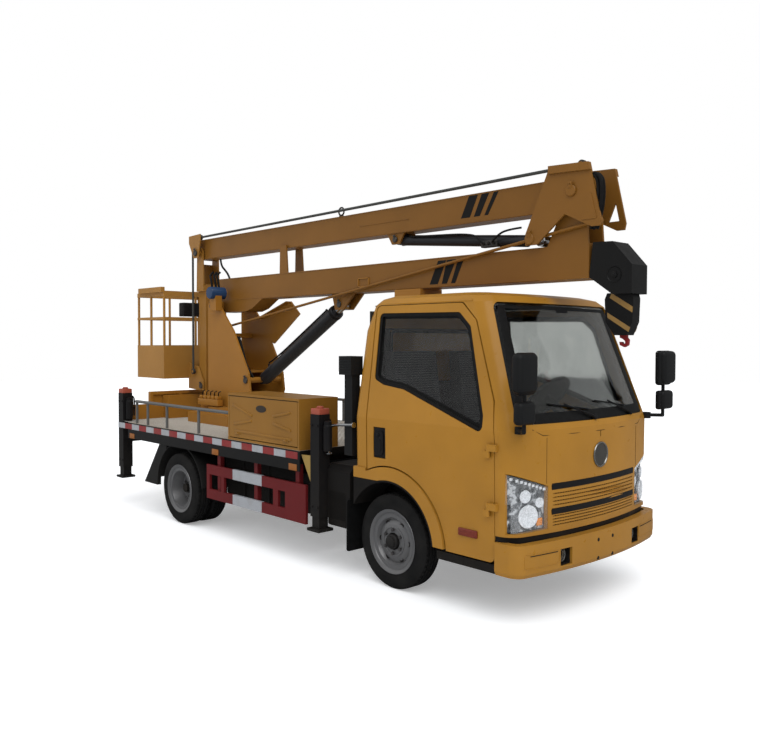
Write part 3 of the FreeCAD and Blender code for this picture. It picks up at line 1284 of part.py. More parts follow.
# ---------------------------------------------------------------- check and write
doc.recompute()
for item in doc.Objects:
    if "Invalid" in item.State or "Error" in item.State:
        raise ValueError("%s could not be built: %s" % (item.Name, item.State))
os.makedirs("parts", exist_ok=True)
for item in NODES:
    shape = item.Shape
    if shape.isNull() or not shape.isValid():
        raise ValueError("%s has no sound shape" % item.Label)
    shape.exportStep("parts/%s.step" % item.Label)
    print(item.Label, len(shape.Solids), round(shape.Volume / 1e6, 2))
print(len(NODES), "pieces")
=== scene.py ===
import math

import bmesh
import bpy
from mathutils import Matrix, Vector


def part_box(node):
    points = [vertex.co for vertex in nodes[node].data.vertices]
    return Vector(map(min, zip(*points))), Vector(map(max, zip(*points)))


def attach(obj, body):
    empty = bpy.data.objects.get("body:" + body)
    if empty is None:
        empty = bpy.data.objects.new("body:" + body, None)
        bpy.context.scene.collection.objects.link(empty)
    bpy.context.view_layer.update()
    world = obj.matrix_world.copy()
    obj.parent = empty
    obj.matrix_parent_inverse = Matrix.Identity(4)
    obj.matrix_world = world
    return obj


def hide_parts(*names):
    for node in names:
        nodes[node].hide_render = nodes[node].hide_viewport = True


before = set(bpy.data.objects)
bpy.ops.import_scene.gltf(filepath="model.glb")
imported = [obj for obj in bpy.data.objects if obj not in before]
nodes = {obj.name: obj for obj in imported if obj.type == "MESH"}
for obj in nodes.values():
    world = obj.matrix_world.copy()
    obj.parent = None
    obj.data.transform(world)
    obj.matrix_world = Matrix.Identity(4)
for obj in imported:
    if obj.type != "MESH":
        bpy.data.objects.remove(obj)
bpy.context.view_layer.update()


# ---------------------------------------------------------------- camera, light and floor
# A plain studio: a pale floor, a white surround, an overcast sky that is brightest overhead, and
# one broad lamp from the right front, so that the paint keeps its own colour.
def feed(tree, node, sockets):
    """Feed a node's sockets: a number or a colour, or another node or one of its outputs."""
    for key, value in sockets.items():
        if isinstance(value, bpy.types.Node):
            value = value.outputs[0]
        if isinstance(value, bpy.types.NodeSocket):
            tree.links.new(value, node.inputs[key])
        else:
            node.inputs[key].default_value = (*value, 1) if isinstance(value, tuple) else value


def add(tree, kind, sockets=None, **settings):
    """A shader node with its settings made and its sockets fed."""
    node = tree.nodes.new("ShaderNode" + kind)
    for key, value in settings.items():
        setattr(node, key, value)
    feed(tree, node, sockets or {})
    return node


def add_mix(tree, factor, low, high):
    """Two colours mixed by a value."""
    return add(tree, "Mix", {"Factor": factor, "A": low, "B": high}, data_type="RGBA").outputs["Result"]


scene = bpy.context.scene
scene.view_settings.view_transform = "Standard"
camera_data = bpy.data.cameras.new("camera")
camera = bpy.data.objects.new("camera", camera_data)
scene.collection.objects.link(camera)
scene.camera = camera
camera_data.lens = 38.07
camera_data.shift_x, camera_data.shift_y = -0.0026, -0.0057
camera.location = (5.897, -4.890, 1.829)
CAMERA_TURNS = ((46.78, "Z"), (88.18, "X"), (0.15, "Z"))
heading, tilt, roll = (Matrix.Rotation(math.radians(angle), 3, axis) for angle, axis in CAMERA_TURNS)
camera.rotation_euler = (heading @ tilt @ roll).to_euler()

MIRRORED_SKY = 0.3            # strength of the white surround in anything shiny
FLOOR_GLOW = 0.3              # light the floor adds where it is seen directly
world = bpy.data.worlds.new("studio")
scene.world = world
world.use_nodes = True
sky = world.node_tree
sky.nodes.clear()
rays = add(sky, "LightPath").outputs
overhead = add(sky, "SeparateXYZ", {0: add(sky, "TexCoord").outputs["Generated"]}).outputs["Z"]
overcast = add(sky, "MapRange", {"Value": overhead, "From Min": -0.4, "From Max": 0.9, "To Min": 0.28,
                                 "To Max": 0.92})
lit = add(sky, "Background", {"Color": (0.93, 0.96, 1.0), "Strength": overcast})
look = add(sky, "Math", {0: rays["Is Camera Ray"], 1: rays["Is Transmission Ray"]}, operation="MAXIMUM")
shine = add(sky, "Math", {0: look, 1: rays["Is Glossy Ray"]}, operation="MAXIMUM")
white = add(sky, "MapRange", {"Value": look, "To Min": MIRRORED_SKY})
seen = add(sky, "Background", {"Color": (1, 1, 1), "Strength": white})
add(sky, "OutputWorld", {"Surface": add(sky, "MixShader", {"Fac": shine, 1: lit, 2: seen})})

for lamp_name, strength, spread, angle in (("broad_lamp", 1.35, 50, (38, 0, 60)),
                                           ("fill_lamp", 0.35, 70, (60, 0, -60))):
    lamp_data = bpy.data.lights.new(lamp_name, "SUN")
    lamp_data.energy = strength
    lamp_data.angle = math.radians(spread)
    lamp = bpy.data.objects.new(lamp_name, lamp_data)
    lamp.rotation_euler = [math.radians(a) for a in angle]
    scene.collection.objects.link(lamp)

bpy.ops.object.select_all(action="DESELECT")
bpy.ops.mesh.primitive_plane_add(size=60, location=(0, 0, 0))
floor = bpy.context.object
floor.name = "studio_floor"
floor_paint = bpy.data.materials.new("floor_paint")
floor_paint.use_nodes = True
ground = floor_paint.node_tree
ground.nodes.clear()
rays = add(ground, "LightPath").outputs
matt = add(ground, "BsdfDiffuse", {"Color": add_mix(ground, rays["Is Glossy Ray"], (0.9,) * 3, (0.22,) * 3)})
glow = add(ground, "Math", {0: rays["Is Camera Ray"], 1: FLOOR_GLOW}, operation="MULTIPLY")
glow = add(ground, "Emission", {"Color": (1, 1, 1), "Strength": glow})
add(ground, "OutputMaterial", {"Surface": add(ground, "AddShader", {0: matt, 1: glow})})
floor.data.materials.append(floor_paint)



# ---------------------------------------------------------------- frame, axles, engine and tank
# Channel rails and cross-members of rolled steel, welded and riveted, with cast axles and a cast
# engine hung under them. All of it is sprayed satin black, with road dust baked on.
def new_finish(name):
    """An empty material, its tree and shader, and the place on the piece to read."""
    finish = bpy.data.materials.new(name)
    finish.use_nodes = True
    tree = finish.node_tree
    return finish, tree, tree.nodes["Principled BSDF"], add(tree, "TexCoord").outputs["Object"]


def add_noise(tree, place, scale, detail=3.0, rough=0.55):
    return add(tree, "TexNoise", {"Vector": place, "Scale": scale, "Detail": detail, "Roughness": rough})


def add_ramp(tree, source, *stops):
    """A colour ramp over a value: each stop is a place and a colour or a grey."""
    ramp = add(tree, "ValToRGB", {"Fac": source})
    while len(ramp.color_ramp.elements) < len(stops):
        ramp.color_ramp.elements.new(0.5)
    for element, (where, colour) in zip(ramp.color_ramp.elements, stops):
        element.position = where
        element.color = (*colour, 1) if isinstance(colour, tuple) else (colour, colour, colour, 1)
    return ramp


def add_bump(tree, shader, source, strength, distance):
    bump = add(tree, "Bump", {"Height": source, "Strength": strength, "Distance": distance})
    feed(tree, shader, {"Normal": bump})


def height_of(tree, place):
    """The height of a place, for a finish that changes with it."""
    return add(tree, "SeparateXYZ", {0: place}).outputs["Z"]


def add_math(tree, kind, first, second):
    """One sum on two values."""
    return add(tree, "Math", {0: first, 1: second}, operation=kind)


ROAD_DUST = (0.16, 0.125, 0.085)


def paint(name, colour, roughness=0.32, coat=0.2, dust=0.3, metallic=0.0, specular=0.3, grain=14):
    """A sprayed coat: its colour wanders a little, chalky specks dull it, and dust lies low down."""
    finish, tree, shader, place = new_finish(name)
    dark, pale = (tuple(min(1, c * share) for c in colour) for share in (0.88, 1.06))
    shade = add_ramp(tree, add_noise(tree, place, 1.7, 4), (0.3, dark), (0.7, pale))
    low_down = add(tree, "MapRange", {"Value": height_of(tree, place), "From Min": 0.2, "From Max": 1.1,
                                      "To Min": dust, "To Max": 0.03})
    specks = add_noise(tree, place, grain, 6, 0.7)
    film = add_math(tree, "MULTIPLY", low_down, specks)
    feed(tree, shader, {
        "Base Color": add_mix(tree, film, shade, ROAD_DUST),
        "Roughness": add_ramp(tree, specks, (0.2, roughness * 0.8), (0.9, roughness * 1.35)),
        "Metallic": metallic, "Specular IOR Level": specular,
        "Coat Weight": coat, "Coat Roughness": 0.12})
    add_bump(tree, shader, add_noise(tree, place, 160, 2), 0.03, 0.001)
    return finish


def dress(names, finish):
    """Give CAD nodes a finish in place of their plain one."""
    for name in names:
        for row in nodes[name].material_slots:
            row.material = finish


chassis_paint = paint("chassis_paint", (0.006, 0.006, 0.0065), 0.55, 0.0, 0.12, specular=0.12)
dress(["chassis_frame", "fuel_tank", "cab_floor"], chassis_paint)
cast_iron = paint("cast_iron", (0.01, 0.0095, 0.009), 0.7, 0.0, 0.15, specular=0.15, grain=60)
dress(["front_axle", "rear_axle", "knuckle_right", "knuckle_left", "engine_block"], cast_iron)


def clear():
    """Object mode, with nothing selected."""
    if bpy.context.mode != "OBJECT":
        bpy.ops.object.mode_set(mode="OBJECT")
    bpy.ops.object.select_all(action="DESELECT")


def edit():
    """Edit mode, with the whole piece selected."""
    bpy.ops.object.mode_set(mode="EDIT")
    bpy.ops.mesh.select_mode(type="VERT")
    bpy.ops.mesh.select_all(action="SELECT")


def close_up():
    """All faces turned outward, and back to object mode."""
    bpy.ops.mesh.select_all(action="SELECT")
    bpy.ops.mesh.normals_make_consistent(inside=False)
    bpy.ops.object.mode_set(mode="OBJECT")


def fix_place():
    bpy.ops.object.transform_apply(location=True, rotation=True, scale=True)


def hold(piece):
    """This piece alone selected and active."""
    clear()
    piece.select_set(True)
    bpy.context.view_layer.objects.active = piece


def twin_of(piece):
    """A copy of a piece with a mesh of its own."""
    twin = piece.copy()
    twin.data = piece.data.copy()
    scene.collection.objects.link(twin)
    return twin


def bar(low, high, edge=0.003, steps=2):
    """A bar or plate between two corners, its edges rounded."""
    clear()
    bpy.ops.mesh.primitive_cube_add(size=1, location=[(a + b) / 2 for a, b in zip(low, high)])
    bpy.context.object.scale = [abs(b - a) for a, b in zip(low, high)]
    fix_place()
    edit()
    bpy.ops.mesh.bevel(offset=edge, segments=steps, affect="EDGES")
    bpy.ops.object.mode_set(mode="OBJECT")
    return bpy.context.object


def join(parts):
    """Several parts made one piece."""
    clear()
    for part in parts:
        part.select_set(True)
    bpy.context.view_layer.objects.active = parts[0]
    if len(parts) > 1:
        bpy.ops.object.join()
    return bpy.context.object


def other_side(piece):
    """The same piece on the left of the truck, with its faces turned outward again."""
    twin = twin_of(piece)
    hold(twin)
    twin.scale = (1, -1, 1)
    fix_place()
    edit()
    close_up()
    return twin


def settle(piece, name, body, finish, smooth=35):
    """Finish a piece: its finish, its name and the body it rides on."""
    hold(piece)
    fix_place()
    piece.name = piece.data.name = name
    piece.data.materials.clear()
    piece.data.materials.append(finish)
    bpy.ops.object.shade_smooth_by_angle(angle=math.radians(smooth))
    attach(piece, body)
    return piece


def both_sides(piece, name, bodies, finish, smooth=35):
    """A piece on the right and its twin on the left, on one body or on one each."""
    right, left = (bodies, bodies) if isinstance(bodies, str) else bodies
    twin = other_side(piece)
    settle(piece, name + "_right", right, finish, smooth)
    settle(twin, name + "_left", left, finish, smooth)


BRACKETS_AT = (-2.3, -1.9, -0.6, -0.1, 0.45)
brackets = [bar((x, -0.395, 0.47), (x + 0.012, -0.351, 0.69), 0.002) for x in BRACKETS_AT]
brackets += [bar((x - 0.03, -0.41, 0.47), (x + 0.042, -0.351, 0.482), 0.002) for x in BRACKETS_AT]
both_sides(join(brackets), "deck_brackets", "chassis", chassis_paint)

# ---------------------------------------------------------------- wheels
# Radial tyres of black rubber, moulded with four grooves and cut shoulders, on pressed steel discs.
# The discs are silver painted, bolted on with six nuts round a cast hub, with black discs of painted shade
# for their vent holes.
def speckled(name, scale, detail, stops, sockets, bump=None, grain=None):
    """A finish whose colour wanders with a noise; grain is the finer noise of its bump."""
    finish, tree, shader, place = new_finish(name)
    cells = add_noise(tree, place, scale, detail)
    feed(tree, shader, {"Base Color": add_ramp(tree, cells, *stops), **sockets})
    if bump:
        add_bump(tree, shader, add_noise(tree, place, grain, 2) if grain else cells, *bump)
    return finish


def choose(test):
    """In edit mode, select the faces whose middle and normal pass a test."""
    bpy.ops.mesh.select_mode(type="FACE")
    bpy.ops.mesh.select_all(action="DESELECT")
    mesh = bmesh.from_edit_mesh(bpy.context.object.data)
    for face in mesh.faces:
        if test(face.calc_center_median(), face.normal):
            face.select_set(True)
    bmesh.update_edit_mesh(bpy.context.object.data)


def turned(profile, centre, axis, sides=48, ring=False):
    """A turned piece: circles of (radius, distance along the axis), each drawn out of the last."""
    clear()
    radius, along = profile[0]
    bpy.ops.mesh.primitive_circle_add(vertices=sides, radius=radius, location=(0, 0, along))
    fix_place()
    piece = bpy.context.object
    edit()
    for wider, further in profile[1:]:
        bpy.ops.mesh.extrude_region_move(TRANSFORM_OT_translate={"value": (0, 0, further - along)})
        grow = wider / radius
        bpy.ops.transform.resize(value=(grow, grow, 1), center_override=(0, 0, 0))
        radius, along = wider, further
    bpy.ops.mesh.select_all(action="SELECT")
    bpy.ops.mesh.remove_doubles(threshold=1e-5)
    if not ring:
        bpy.ops.mesh.fill_holes(sides=0)
    close_up()
    lie = Vector(axis).to_track_quat("Z", "Y").to_matrix().to_4x4()
    piece.matrix_world = Matrix.Translation(centre) @ lie
    fix_place()
    return piece


def repeat(piece, places):
    """A piece copied to each place, and the copies joined."""
    parts = []
    for place in places:
        parts.append(twin_of(piece))
        parts[-1].matrix_world = Matrix.Translation(place)
    bpy.data.objects.remove(piece)
    whole = join(parts)
    fix_place()
    return whole


SIDES = (("right", -1), ("left", 1))
AXLES = {"front": 1.68, "rear": -1.27}
AXLE_HEIGHT = 0.35
WHEEL_Y = {"front": 0.7425, "rear": 0.8315}     # middle of the outer tyre
HALF_TYRE = 0.0825
WHEELS = {"front": "front_wheel_", "rear": "rear_wheels_"}
TYRE_PROFILE = [(0.207, -0.066), (0.222, -0.075), (0.252, -0.081), (0.285, -0.0825), (0.312, -0.0805),
                (0.331, -0.075), (0.343, -0.069), (0.3485, -0.060), (0.3495, -0.050), (0.3415, -0.048),
                (0.3415, -0.041), (0.350, -0.039), (0.350, -0.018), (0.3415, -0.016), (0.3415, -0.009),
                (0.350, -0.007)]
TYRE_PROFILE = TYRE_PROFILE + [(r, -a) for r, a in reversed(TYRE_PROFILE)] + [TYRE_PROFILE[0]]
TREAD_STEPS = 96
SHOULDER_OUT, SHOULDER_IN = 0.344, 0.05     # the cut shoulders lie beyond this radius and this half width
LUG_DEEP = 0.005
rubber = speckled("tyre_rubber", 9, 5, [(0.3, (0.006, 0.006, 0.006)), (0.75, (0.014, 0.013, 0.012))],
                  {"Roughness": 0.8, "Specular IOR Level": 0.2}, (0.15, 0.001), grain=220)


def tyre(x, y):
    """One tyre about its axle: turned, then its shoulders cut every other step."""
    piece = turned(TYRE_PROFILE, (x, y, AXLE_HEIGHT), (0, 1, 0), TREAD_STEPS, ring=True)
    edit()

    def is_lug(middle, normal):
        away = Vector((middle.x - x, 0, middle.z - AXLE_HEIGHT))
        step = round(math.atan2(away.z, away.x) / math.tau * TREAD_STEPS - 0.5)
        return away.length > SHOULDER_OUT and abs(middle.y - y) > SHOULDER_IN and step % 2 == 0
    choose(is_lug)
    bpy.ops.mesh.extrude_faces_move(TRANSFORM_OT_shrink_fatten={"value": -LUG_DEEP})
    bpy.ops.object.mode_set(mode="OBJECT")
    return piece


for axle, tag in (("front", "front_tyre_"), ("rear", "rear_tyres_")):
    for side in ("right", "left"):
        low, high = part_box(tag + side)
        middles = [(low[1] + high[1]) / 2] if axle == "front" else [low[1] + HALF_TYRE, high[1] - HALF_TYRE]
        whole = join([tyre(AXLES[axle], y) for y in middles])
        settle(whole, "%s_tread_%s" % (axle, side), WHEELS[axle] + side, rubber, 30)
        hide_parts(tag + side)

wheel_steel = paint("wheel_steel", (0.17, 0.172, 0.178), 0.36, 0.05, 0.2, metallic=0.55, specular=0.5,
                    grain=40)
dress(["front_rim_right", "front_rim_left", "rear_rims_right", "rear_rims_left"], wheel_steel)
FRONT_DISC = [(0.2, 0.02), (0.186, 0.03), (0.168, 0.035), (0.156, 0.046), (0.14, 0.054), (0.118, 0.062),
              (0.1, 0.064), (0.064, 0.064)]
wheel_nuts = paint("wheel_nuts", (0.08, 0.08, 0.085), 0.4, 0.0, 0.3, metallic=0.6, specular=0.5, grain=80)
hub_black = paint("hub_black", (0.009, 0.009, 0.01), 0.5, 0.0, 0.1, specular=0.25, grain=60)
NUT_CIRCLE, VENT_CIRCLE = 0.0875, 0.142
for axle, side, sign in [(axle, side, sign) for axle in AXLES for side, sign in SIDES]:
    x = AXLES[axle]
    way = Vector((0, sign, 0))
    middle = (x, WHEEL_Y[axle] * sign, AXLE_HEIGHT)
    body = WHEELS[axle] + side
    rim = "%s_%s_%s" % (axle, "rim" if axle == "front" else "rims", side)

    def on_disc(radius, angle):
        """The wheel disc's outer face at a radius and an angle."""
        start = Vector((x + radius * math.cos(angle), 1.2 * sign, AXLE_HEIGHT + radius * math.sin(angle)))
        return nodes[rim].ray_cast(start, -way)[1]
    flat = on_disc(0.105, 0.3).y
    if axle == "front":
        inner_face = [(r, a - 0.004) for r, a in reversed(FRONT_DISC)]
        disc = turned(FRONT_DISC + inner_face + FRONT_DISC[:1], middle, way, 56, ring=True)
        settle(disc, "front_disc_" + side, body, wheel_steel)
        flat = (WHEEL_Y[axle] + FRONT_DISC[-1][1]) * sign
    flange = turned([(0.198, 0.05), (0.21, 0.073), (0.222, 0.0815), (0.236, 0.0845), (0.238, 0.081),
                     (0.224, 0.074), (0.206, 0.05), (0.198, 0.05)], middle, way, 64, ring=True)
    settle(flange, "%s_flange_%s" % (axle, side), body, wheel_steel)
    nut = turned([(0.0125, 0), (0.0135, 0.002), (0.0135, 0.015), (0.011, 0.019), (0.006, 0.02)], (0, 0, 0),
                 way, 6)
    nut = repeat(nut, [(x + NUT_CIRCLE * math.cos(a), flat, AXLE_HEIGHT + NUT_CIRCLE * math.sin(a))
                       for a in [math.radians(30 + 60 * i) for i in range(6)]])
    settle(nut, "%s_nuts_%s" % (axle, side), body, wheel_nuts)
    hub = turned([(0.056, -0.01), (0.056, 0.018), (0.05, 0.026), (0.044, 0.028), (0.042, 0.04), (0.03, 0.047),
                  (0.008, 0.049)], (x, flat, AXLE_HEIGHT), way, 40)
    settle(hub, "%s_hub_%s" % (axle, side), body, hub_black)
    # Black discs on the vent circle: painted shade for the dark inside of the disc's vent holes.
    vent_shades = []
    for i in range(6):
        place = on_disc(VENT_CIRCLE, math.radians(60 * i))
        if axle == "front":
            place.y = (WHEEL_Y[axle] + 0.052) * sign
        vent_shades.append(turned([(0.019, -0.004), (0.0195, 0.001), (0.0165, 0.0018), (0.0155, -0.001),
                             (0.004, -0.002)], place, way, 24))
    settle(join(vent_shades), "%s_vents_%s" % (axle, side), body, hub_black)
    step = turned([(0.112, -0.004), (0.113, 0.0025), (0.108, 0.005), (0.1, 0.0045), (0.096, 0.001),
                   (0.095, -0.004)], (x, flat, AXLE_HEIGHT), way, 48, ring=True)
    settle(step, "%s_disc_step_%s" % (axle, side), body, wheel_steel)

# ---------------------------------------------------------------- cab shell
# Pressed and welded sheet with a low roof, sprayed orange-yellow and lacquered. Seams between the
# panels are sealed with black mastic.
def pin(start, end, radius, edge=0.002, sides=24):
    """A round bar between two points, its ends chamfered."""
    long = (Vector(end) - Vector(start)).length
    return turned([(radius - edge, 0), (radius, edge), (radius, long - edge), (radius - edge, long)], start,
                  Vector(end) - Vector(start), sides)


def slab(outline, thick, radius=0.0, steps=4, inset=0.0):
    """A plate of any outline, its corners rounded, drawn out by thick; an inset leaves only its border."""
    clear()
    bpy.ops.mesh.primitive_circle_add(vertices=len(outline), fill_type="NGON")
    piece = bpy.context.object
    for corner, place in zip(piece.data.vertices, outline):
        corner.co = place
    edit()
    if radius:
        bpy.ops.mesh.bevel(offset=radius, segments=steps, affect="VERTICES")
        bpy.ops.mesh.select_all(action="SELECT")
    if inset:
        bpy.ops.mesh.inset(thickness=inset)
        bpy.ops.mesh.delete(type="FACE")
        bpy.ops.mesh.select_all(action="SELECT")
    bpy.ops.mesh.extrude_region_move(TRANSFORM_OT_translate={"value": thick})
    close_up()
    return piece


def hose(points, radius, sides=8):
    """A bent tube or hose that runs smoothly past its points, its ends closed."""
    clear()
    line = bpy.data.curves.new("line", "CURVE")
    line.dimensions = "3D"
    line.bevel_depth = radius
    line.bevel_resolution = sides // 4
    line.use_fill_caps = True
    spline = line.splines.new("NURBS")
    spline.points.add(len(points) - 1)
    for point, place in zip(spline.points, points):
        point.co = (*place, 1)
    spline.order_u = 3
    spline.use_endpoint_u = True
    spline.resolution_u = 8
    piece = bpy.data.objects.new("line", line)
    scene.collection.objects.link(piece)
    piece.select_set(True)
    bpy.context.view_layer.objects.active = piece
    bpy.ops.object.convert(target="MESH")
    return bpy.context.object


cab_paint = paint("cab_paint", (0.385, 0.178, 0.02), 0.3, 0.1, 0.2, specular=0.18)
dress(["cab_back", "cab_roof", "windscreen_frame", "front_panel", "bumper", "door_right", "door_left",
       "wheel_arches"], cab_paint)
FORWARD, OUTWARD, UP = (1, 0, 0), (0, -1, 0), (0, 0, 1)     # outward is for the right side
SEALER = 0.002                # radius of a bead of mastic
PROUD = 0.0005                # how far a bead's middle stands off the panel
black_rubber = speckled("black_rubber", 30, 4, [(0.3, (0.004, 0.004, 0.004)), (0.8, (0.009, 0.009, 0.009))],
                        {"Roughness": 0.55, "Specular IOR Level": 0.2}, (0.1, 0.001))


def surface(names, origin, way):
    """Where a line first meets any of some CAD nodes."""
    origin, best = Vector(origin), None
    for name in names:
        hit, place = nodes[name].ray_cast(origin, Vector(way).normalized())[:2]
        if hit and (best is None or (place - origin).length < (best - origin).length):
            best = place
    return best


def on_front(y, z, proud=0.0):
    """A point on the front of the cab, so far proud of it."""
    place = surface(["front_panel", "windscreen_frame", "windscreen"], (4, y, z), (-1, 0, 0))
    return place + Vector((proud, 0, 0))


seam = [on_front(y, z, PROUD) for y, z in ((-0.683, 1.258), (-0.595, 1.216), (-0.3, 1.213), (0, 1.212),
                                          (0.3, 1.213), (0.595, 1.216), (0.683, 1.258))]
beads = [hose([a, a.lerp(b, 0.5), b], SEALER, 6) for a, b in zip(seam, seam[1:])]
beads.append(hose([on_front(0, z, PROUD) for z in (1.208, 1.19, 1.17)], SEALER, 6))
beads += [hose([on_front(y, z, PROUD) for z in (1.2, 1.1, 1.0, 0.9)], 0.0012, 6) for y in (-0.56, 0.56)]
settle(join(beads), "cowl_seams", "chassis", black_rubber)
gutters = [hose([surface(["windscreen_frame", "cab_back"], (x, 2 * sign, 2.098), (0, -sign, 0))
                 for x in (1.45, 1.7, 1.95, 2.2, 2.38)], 0.006, 8) for sign in (-1, 1)]
settle(join(gutters), "roof_gutters", "chassis", cab_paint)

# ---------------------------------------------------------------- front panel trim
# A plain pressed badge disc in a raised ring, black mesh laid behind the two slots, and rows of
# small punched holes in the grooves between the grille's ribs, drawn as black discs of painted shade.
trim_chrome = paint("trim_chrome", (0.32, 0.31, 0.29), 0.25, 0.0, 0.2, metallic=0.9, specular=0.5, grain=50)
trim_black = paint("trim_black", (0.006, 0.006, 0.007), 0.45, 0.0, 0.12, specular=0.18)
badge_grey = paint("badge_grey", (0.09, 0.085, 0.075), 0.35, 0.1, 0.3, metallic=0.6, specular=0.4, grain=70)
badge_at = on_front(0, 1.045)
badge = turned([(0.084, -0.004), (0.089, 0.004), (0.086, 0.009), (0.079, 0.009), (0.076, 0.005),
                (0.073, -0.004)], badge_at, FORWARD, 56, ring=True)
settle(badge, "front_badge_ring", "chassis", trim_chrome)
badge_field = turned([(0.0755, -0.004), (0.0755, 0.003), (0.06, 0.0045), (0.01, 0.0055)], badge_at,
                     FORWARD, 48)
settle(badge_field, "front_badge_field", "chassis", badge_grey)
SLOTS = ((0.862, 0.888), (0.7, 0.724))
meshes = []
for low, high in SLOTS:
    edges = [(on_front(y, low - 0.007, -0.001), on_front(y, high + 0.009, -0.001))
             for y in [-0.512 + 0.064 * i for i in range(17)]]
    meshes += [slab([a, b, up_b, up_a], (0.0028, 0, 0)) for (a, up_a), (b, up_b) in zip(edges, edges[1:])]
settle(join(meshes), "slot_mesh", "chassis", trim_black)
# Each punched hole is a black disc standing proud of the panel: painted shade for the dark inside of the
# hole.
HOLE_ROWS = (0.7545, 0.7795, 0.8045, 0.8295, 0.6225, 0.6425, 0.6625, 0.6825)
HOLE_STEP = 0.0245
hole = pin((-0.004, 0, 0), (0.0015, 0, 0), 0.0058, 0.0008, 8)
holes = [surface(["front_panel"], (4, i * HOLE_STEP, z), (-1, 0, 0))
         for z in HOLE_ROWS for i in range(-19, 20)]
settle(repeat(hole, holes), "grille_hole_shade", "chassis", trim_black)

# ---------------------------------------------------------------- bumper trim
# Two fog lamps sunk in the bumper's openings, four punched holes for the number plate drawn as black
# discs of painted shade, a pressed step outline on each side, and a black sheet of painted shade that fills
# the gap above the bumper.
def facing_x(x, y, z):
    """The corners of an upright panel that faces along X, between two Y and two Z."""
    return [(x, y[0], z[0]), (x, y[1], z[0]), (x, y[1], z[1]), (x, y[0], z[1])]


# A black sheet fills the gap between the front panel and the bumper: painted shade for the dark gap.
half_gap_shade = [(2.70, -0.845, 0.50), (2.80, -0.75, 0.50), (2.865, -0.45, 0.50), (2.885, 0, 0.50)]
gap_shade = half_gap_shade + [(x, -y, z) for x, y, z in half_gap_shade[2::-1]]
gap_shade += [(2.60, 0.845, 0.50), (2.60, -0.845, 0.50)]
settle(slab(gap_shade, (0, 0, 0.095), 0.02), "bumper_gap_shade", "chassis", trim_black)
FOG_Y, FOG_Z = 0.435, 0.418


def on_bumper(y, z, proud=PROUD):
    """A point on the bumper's face, so far proud of it."""
    return surface(["bumper"], (4, y, z), (-1, 0, 0)) + Vector((proud, 0, 0))


for side, sign in SIDES:
    y = FOG_Y * sign
    fog_box = bar((2.84, y - 0.06, 0.359), (2.872, y + 0.06, 0.477), 0.003)
    settle(fog_box, "fog_housing_" + side, "chassis", trim_black)
    liner = slab(facing_x(2.85, (y - 0.0595, y + 0.0595), (FOG_Z - 0.0585, FOG_Z + 0.0585)),
                 (on_bumper(0.51 * sign, FOG_Z).x - 0.004 - 2.85, 0, 0), 0.004, 2, 0.004)
    settle(liner, "fog_liner_" + side, "chassis", trim_black)
    reflector = turned([(0.046, -0.012), (0.046, 0.006), (0.043, 0.009), (0.038, 0.006), (0.034, -0.004),
                        (0.02, -0.008), (0.006, -0.009)], (2.878, y, FOG_Z), FORWARD, 40)
    settle(reflector, "fog_reflector_" + side, "chassis", trim_chrome)
# The number plate's holes are black discs: painted shade for the dark inside of each hole.
plate_hole = turned([(0.013, -0.004), (0.013, 0.0012), (0.01, 0.0014)], (0, 0, 0), FORWARD, 14)
plate_hole_shade = repeat(plate_hole, [on_bumper(y, z, 0) for y in (-0.09, 0.09) for z in (0.35, 0.475)])
settle(plate_hole_shade, "plate_hole_shade", "chassis", trim_black)
STEP_OUTLINE = [(0.805, 0.392), (0.79, 0.385), (0.53, 0.385), (0.505, 0.395), (0.497, 0.47), (0.51, 0.478),
                (0.79, 0.478), (0.805, 0.468), (0.805, 0.392)]
step_lines = [hose([on_bumper(y * sign, z) for y, z in (a, ((a[0] + b[0]) / 2, (a[1] + b[1]) / 2), b)],
                   0.0028, 6) for sign in (-1, 1) for a, b in zip(STEP_OUTLINE, STEP_OUTLINE[1:])]
settle(join(step_lines), "bumper_step_lines", "chassis", cab_paint)
grips = [hose([on_bumper(y * sign, 0.464) for y in (0.52, 0.6, 0.68, 0.76)], 0.003, 6) for sign in (-1, 1)]
settle(join(grips), "bumper_step_grips", "chassis", trim_black)

# ---------------------------------------------------------------- head lamps
# A silvered housing behind a clear moulded lens, with a large bowl below, a small one above it, a
# strip of small white lamps along the top edge and an amber turn lamp beside the bowl. The silver of the
# housing and bowls is painted reflection: pale specks and flat white in the colour, in place of mirror metal.
def laid(across, along, place):
    """A thin sheet laid on a surface: a fine grid, each corner put where place(u, v) says."""
    clear()
    bpy.ops.mesh.primitive_grid_add(x_subdivisions=across, y_subdivisions=along, size=1)
    piece = bpy.context.object
    for corner in piece.data.vertices:
        corner.co = place(corner.co.x + 0.5, corner.co.y + 0.5)
    edit()
    bpy.ops.mesh.extrude_region_move(TRANSFORM_OT_translate={"value": (-0.002, 0, 0)})
    close_up()
    return piece


